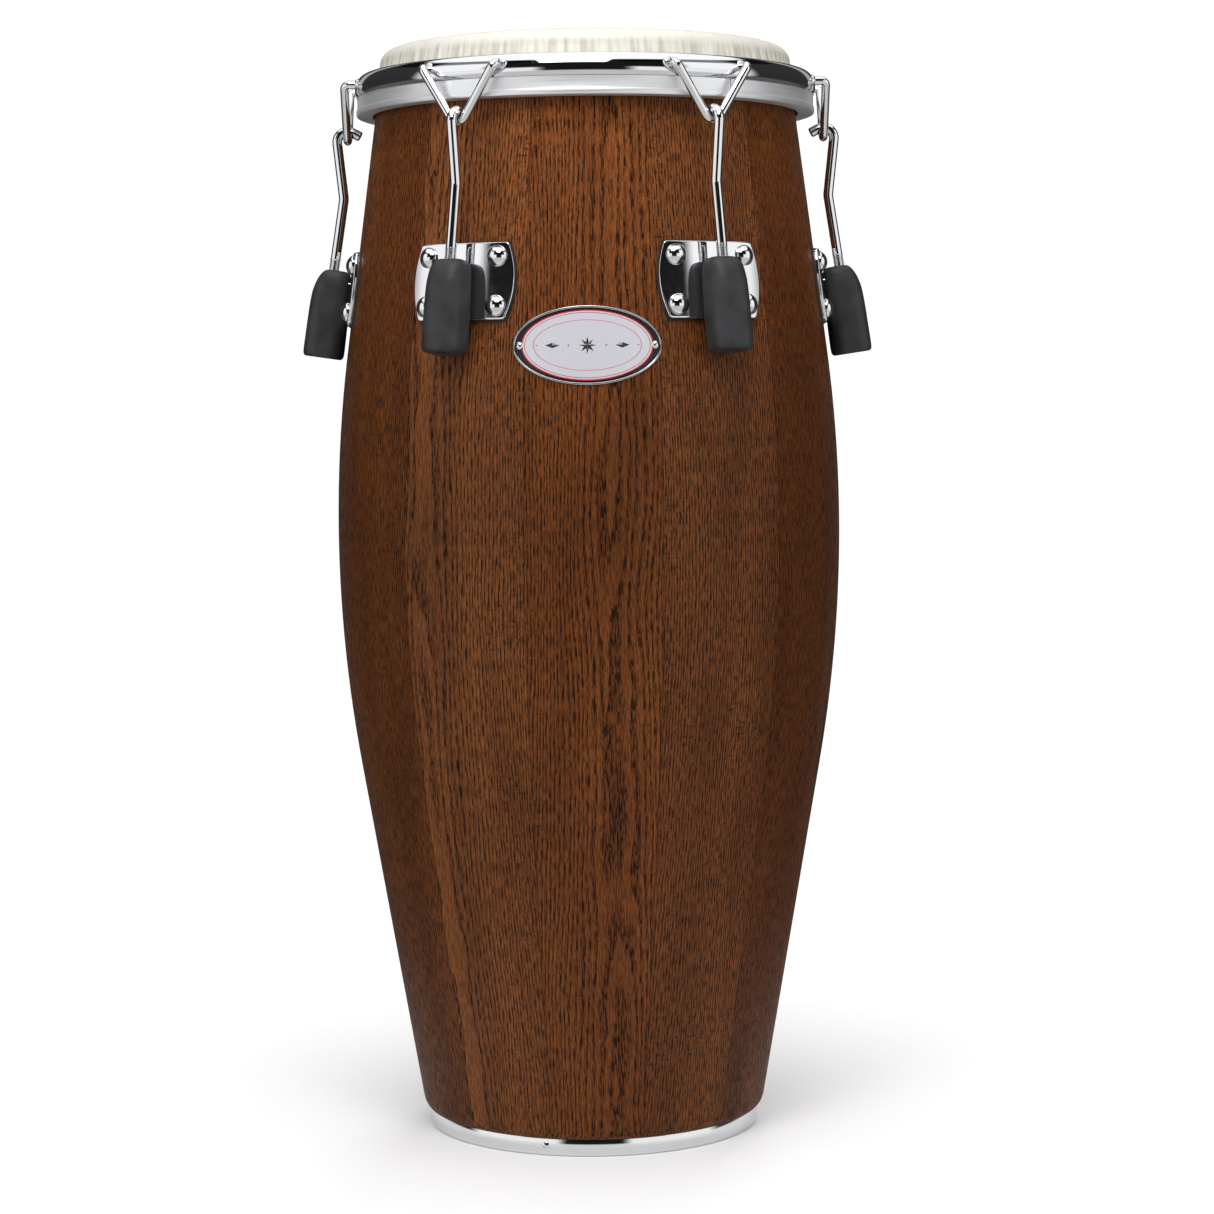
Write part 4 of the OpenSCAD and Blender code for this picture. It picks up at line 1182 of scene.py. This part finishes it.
bpy.ops.mesh.select_all(action="SELECT")
bpy.ops.mesh.fill_holes(sides=0)
tidy(badge_plate, 25)
for material in (badge_steel, black_enamel, red_enamel, badge_print):
    badge_plate.data.materials.append(material)


def finish_inside(place):
    """The finish of the badge at a place: that of the last line it lies inside."""
    finish = polished
    for from_tip, from_top, _, new_finish in badge_lines:
        across = place.x / (badge_w / 2 - from_tip * mm)
        up = place.y / (badge_h / 2 - from_top * mm)
        if across ** 2 + up ** 2 < 1.002:
            finish = new_finish
    return finish


for face in badge_plate.data.polygons:
    face.material_index = polished if face.center.z < 0.2 * mm else finish_inside(face.center)


def cone(name, sides, wide, high, thick, x):
    """A low pyramid on the badge's face, x to the right of its middle."""
    deselect()
    bpy.ops.mesh.primitive_cone_add(vertices=sides, radius1=1, radius2=0, depth=1)
    shape = Matrix.Translation((x, 0, badge_face)) @ Matrix.Diagonal((wide, high, thick, 1))
    return placed(named(name), shape)


# an ornament stands on the face: an eight-pointed star between lozenges and dots
star = cone("star", 16, 10.5 * mm, 10.5 * mm, 1.0 * mm, 0)
work_on(star)
pick(star, "VERT", lambda v: v.co.xy.length > mm and round(math.atan2(v.co.y, v.co.x) / (22.5 * deg)) % 2)
bpy.ops.transform.resize(value=(0.4, 0.4, 1), center_override=(0, 0, 0.35 * mm))
ornaments = [star]
for side in (-1, 1):
    ornaments.append(cone("lozenge", 4, 9.0 * mm, 3.4 * mm, 0.9 * mm, side * 23 * mm))
for piece in ornaments:
    deselect()
    piece.data.materials.append(black_enamel)
for side in (-1, 1):
    for x in (12.4, 33.4):
        dot = cone("dot", 24, 1.0 * mm, 1.0 * mm, 0.7 * mm, side * x * mm)
        dot.data.materials.append(red_enamel)
        ornaments.append(dot)
badge = sliced(joined("oval_badge", [badge_plate] + ornaments), [x * mm for x in range(-48, 49, 3)])
wrapped(badge, -90 * deg, badge_z)
done(badge, "shell", "badge_plate", [], "badge")

nail_outline = ([(0, -6 * mm), (0.75 * mm, -4.5 * mm), (0.75 * mm, 0), (2.3 * mm, 0), (2.5 * mm, 0.2 * mm)]
                + dome(5 * mm, 1.5 * mm, 0.3 * mm))
nail = turned("nail", nail_outline, 28, angle=40)
nails = []
for side in (-1, 1):
    seat = on_wall(-90 * deg + side * math.asin(badge_nail_dx / 2 / r_out(badge_z)), badge_z)
    nails.append(copied(nail, "nail_copy", seat @ Matrix.Translation((0, 0, badge_t + 0.03 * mm))))
removed(nail)
done(shade(joined("badge_nail_pair", nails), 40), "shell", "chrome", [chrome], "badge_nails")

# ---- frame pieces that keep their own shape ----

kept = {"bolt_washers": zinc, "bolt_nuts": zinc, "nut_washers": zinc}
for k in range(1, lugs + 1):
    kept[f"tuning_nut_{k}"] = zinc
    kept[f"plate_gasket_{k}"] = gasket_rubber
for node, material in kept.items():
    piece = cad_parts[node]
    if not piece.material_slots:
        piece.data.materials.append(material)
    for place in piece.material_slots:
        place.material = material

# ---- floor, light and camera ----


floor_r = 1.6
floor_drop = 0.2 * mm


def pale_floor():
    """Matte pale paint that fades out well away from the drum."""
    fade_from, fade_to = 0.13, 0.62
    material, tree, shader = new_material("pale_floor")
    shader.inputs["Base Color"].default_value = linear("#f4f4f4")
    shader.inputs["Roughness"].default_value = 0.9
    shader.inputs["Specular IOR Level"].default_value = 0.2
    place = add(tree, "VectorMath", {0: add(tree, "TexCoord").outputs["Object"]}, operation="LENGTH")
    fade = add(tree, "MapRange", {"Value": place.outputs["Value"], "From Min": fade_from,
                                  "From Max": fade_to}, interpolation_type="SMOOTHSTEP")
    clear = add(tree, "BsdfTransparent")
    mixed = add(tree, "MixShader", {0: fade.outputs[0], 1: shader.outputs[0], 2: clear.outputs[0]})
    tree.links.new(mixed.outputs[0], tree.nodes["Material Output"].inputs["Surface"])
    return material


deselect()
bpy.ops.mesh.primitive_circle_add(vertices=96, radius=floor_r, fill_type="NGON",
                                  location=(0, 0, -floor_drop))
floor = named("studio_floor")
floor.data.materials.append(pale_floor())

# brightness of each part of the studio as the metal reflects it
dark_wall, reflector_glow, softbox_glow, strip_glow, overhead_glow = 0.012, 1.15, 1.3, 0.42, 1.4
# brightness of the backdrop as it is seen
backdrop_glow = 1.05
world = bpy.data.worlds.new("studio")
bpy.context.scene.world = world
world.use_nodes = True
sky = world.node_tree
backdrop = sky.nodes["Background"]
way = add(sky, "TexCoord").outputs["Generated"]
way_xyz = add(sky, "SeparateXYZ", {0: way})
level = add(sky, "CombineXYZ", {0: way_xyz.outputs[0], 1: way_xyz.outputs[1]})
level = add(sky, "VectorMath", {0: level.outputs[0]}, operation="NORMALIZE")
front = add(sky, "VectorMath", {0: level.outputs[0], 1: (0, -1, 0)}, operation="DOT_PRODUCT")
# white reflectors stand on the floor either side of the camera, and softboxes stand further round and
# reach higher; the room behind the drum is dark
reflectors = add(sky, "MapRange", {"Value": front.outputs["Value"], "From Min": 0.89, "From Max": 0.95,
                                   "To Min": reflector_glow, "To Max": dark_wall},
                 interpolation_type="SMOOTHSTEP")
softboxes = add(sky, "MapRange", {"Value": front.outputs["Value"], "From Min": 0.58, "From Max": 0.68,
                                  "To Min": softbox_glow, "To Max": dark_wall},
                interpolation_type="SMOOTHSTEP")
high = add(sky, "MapRange", {"Value": way_xyz.outputs[2], "From Min": 0.18, "From Max": 0.26},
           interpolation_type="SMOOTHSTEP")
walls = add(sky, "Mix", {"Factor": high.outputs[0], 2: reflectors.outputs[0], 3: softboxes.outputs[0]},
            data_type="FLOAT")
behind = add(sky, "MapRange", {"Value": front.outputs["Value"], "From Min": -0.1, "From Max": 0.1,
                               "To Min": 0.03, "To Max": 1.0}, interpolation_type="SMOOTHSTEP")
walls = add(sky, "Math", {0: walls.outputs[0], 1: behind.outputs[0]}, operation="MULTIPLY")
# a narrow strip light either side at the back draws the bright line down the metal's edges
back = add(sky, "Math", {0: front.outputs["Value"], 1: -1.0}, operation="MULTIPLY")
strip = add(sky, "ValToRGB", {0: back.outputs[0]},
            ramp=[(0.0, 0.0), (0.84, 0.0), (0.87, strip_glow), (0.92, strip_glow), (0.95, 0.0)])
walls = add(sky, "Math", {0: walls.outputs[0], 1: strip.outputs["Color"]}, operation="ADD")
# a dark gap above them, then one large softbox overhead; below is the pale floor
gap = add(sky, "MapRange", {"Value": way_xyz.outputs[2], "From Min": 0.54, "From Max": 0.6,
                            "To Min": 1.0, "To Max": 0.2}, interpolation_type="SMOOTHSTEP")
walls = add(sky, "Math", {0: walls.outputs[0], 1: gap.outputs[0]}, operation="MULTIPLY")
overhead = add(sky, "MapRange", {"Value": way_xyz.outputs[2], "From Min": 0.7, "From Max": 0.76},
               interpolation_type="SMOOTHSTEP")
glow = add(sky, "Mix", {"Factor": overhead.outputs[0], 2: walls.outputs[0], 3: overhead_glow},
           data_type="FLOAT")
ground = add(sky, "MapRange", {"Value": way_xyz.outputs[2], "From Min": -0.34, "From Max": -0.14,
                               "To Min": 1.0, "To Max": 0.0})
ground_level = add(sky, "MapRange", {"Value": behind.outputs[0], "From Min": 0.03, "To Min": 0.12,
                                     "To Max": 0.7})
glow = add(sky, "Mix", {"Factor": ground.outputs[0], 2: glow.outputs[0], 3: ground_level.outputs[0]},
           data_type="FLOAT")
seen = add(sky, "LightPath").outputs["Is Camera Ray"]
strength = add(sky, "Mix", {"Factor": seen, 2: glow.outputs[0], 3: backdrop_glow}, data_type="FLOAT")
sky.links.new(strength.outputs[0], backdrop.inputs["Strength"])
backdrop.inputs["Color"].default_value = (1, 1, 1, 1)


drum_middle = Vector((0, 0, 0.45))


def softbox(name, place, size, power, in_mirrors):
    """A square area light aimed at the drum's middle."""
    data = bpy.data.lights.new(name, "AREA")
    data.size = size
    data.energy = power
    lamp = bpy.data.objects.new(name, data)
    bpy.context.scene.collection.objects.link(lamp)
    lamp.location = place
    lamp.rotation_euler = (drum_middle - lamp.location).to_track_quat("-Z", "Y").to_euler()
    lamp.visible_camera = False
    lamp.visible_glossy = in_mirrors


softbox("key_left", (-1.4, -2.5, 1.9), 1.2, 24, False)
softbox("key_right", (1.4, -2.5, 1.9), 1.2, 18, False)
softbox("top_front", (-0.1, -0.95, 1.65), 0.7, 9, True)
softbox("back_fill", (0.6, 2.6, 1.8), 1.4, 30, False)

camera_data = bpy.data.cameras.new("camera")
camera_data.lens = 88.0
camera_data.sensor_width = 36
camera_data.shift_x = 0.0158
camera_data.shift_y = -0.1756
camera = bpy.data.objects.new("camera", camera_data)
bpy.context.scene.collection.objects.link(camera)
camera.location = (0, -2.118, 0.5146)
camera.rotation_euler = (90 * deg, 0.514 * deg, 0)
bpy.context.scene.camera = camera
bpy.context.scene.view_settings.view_transform = "Standard"
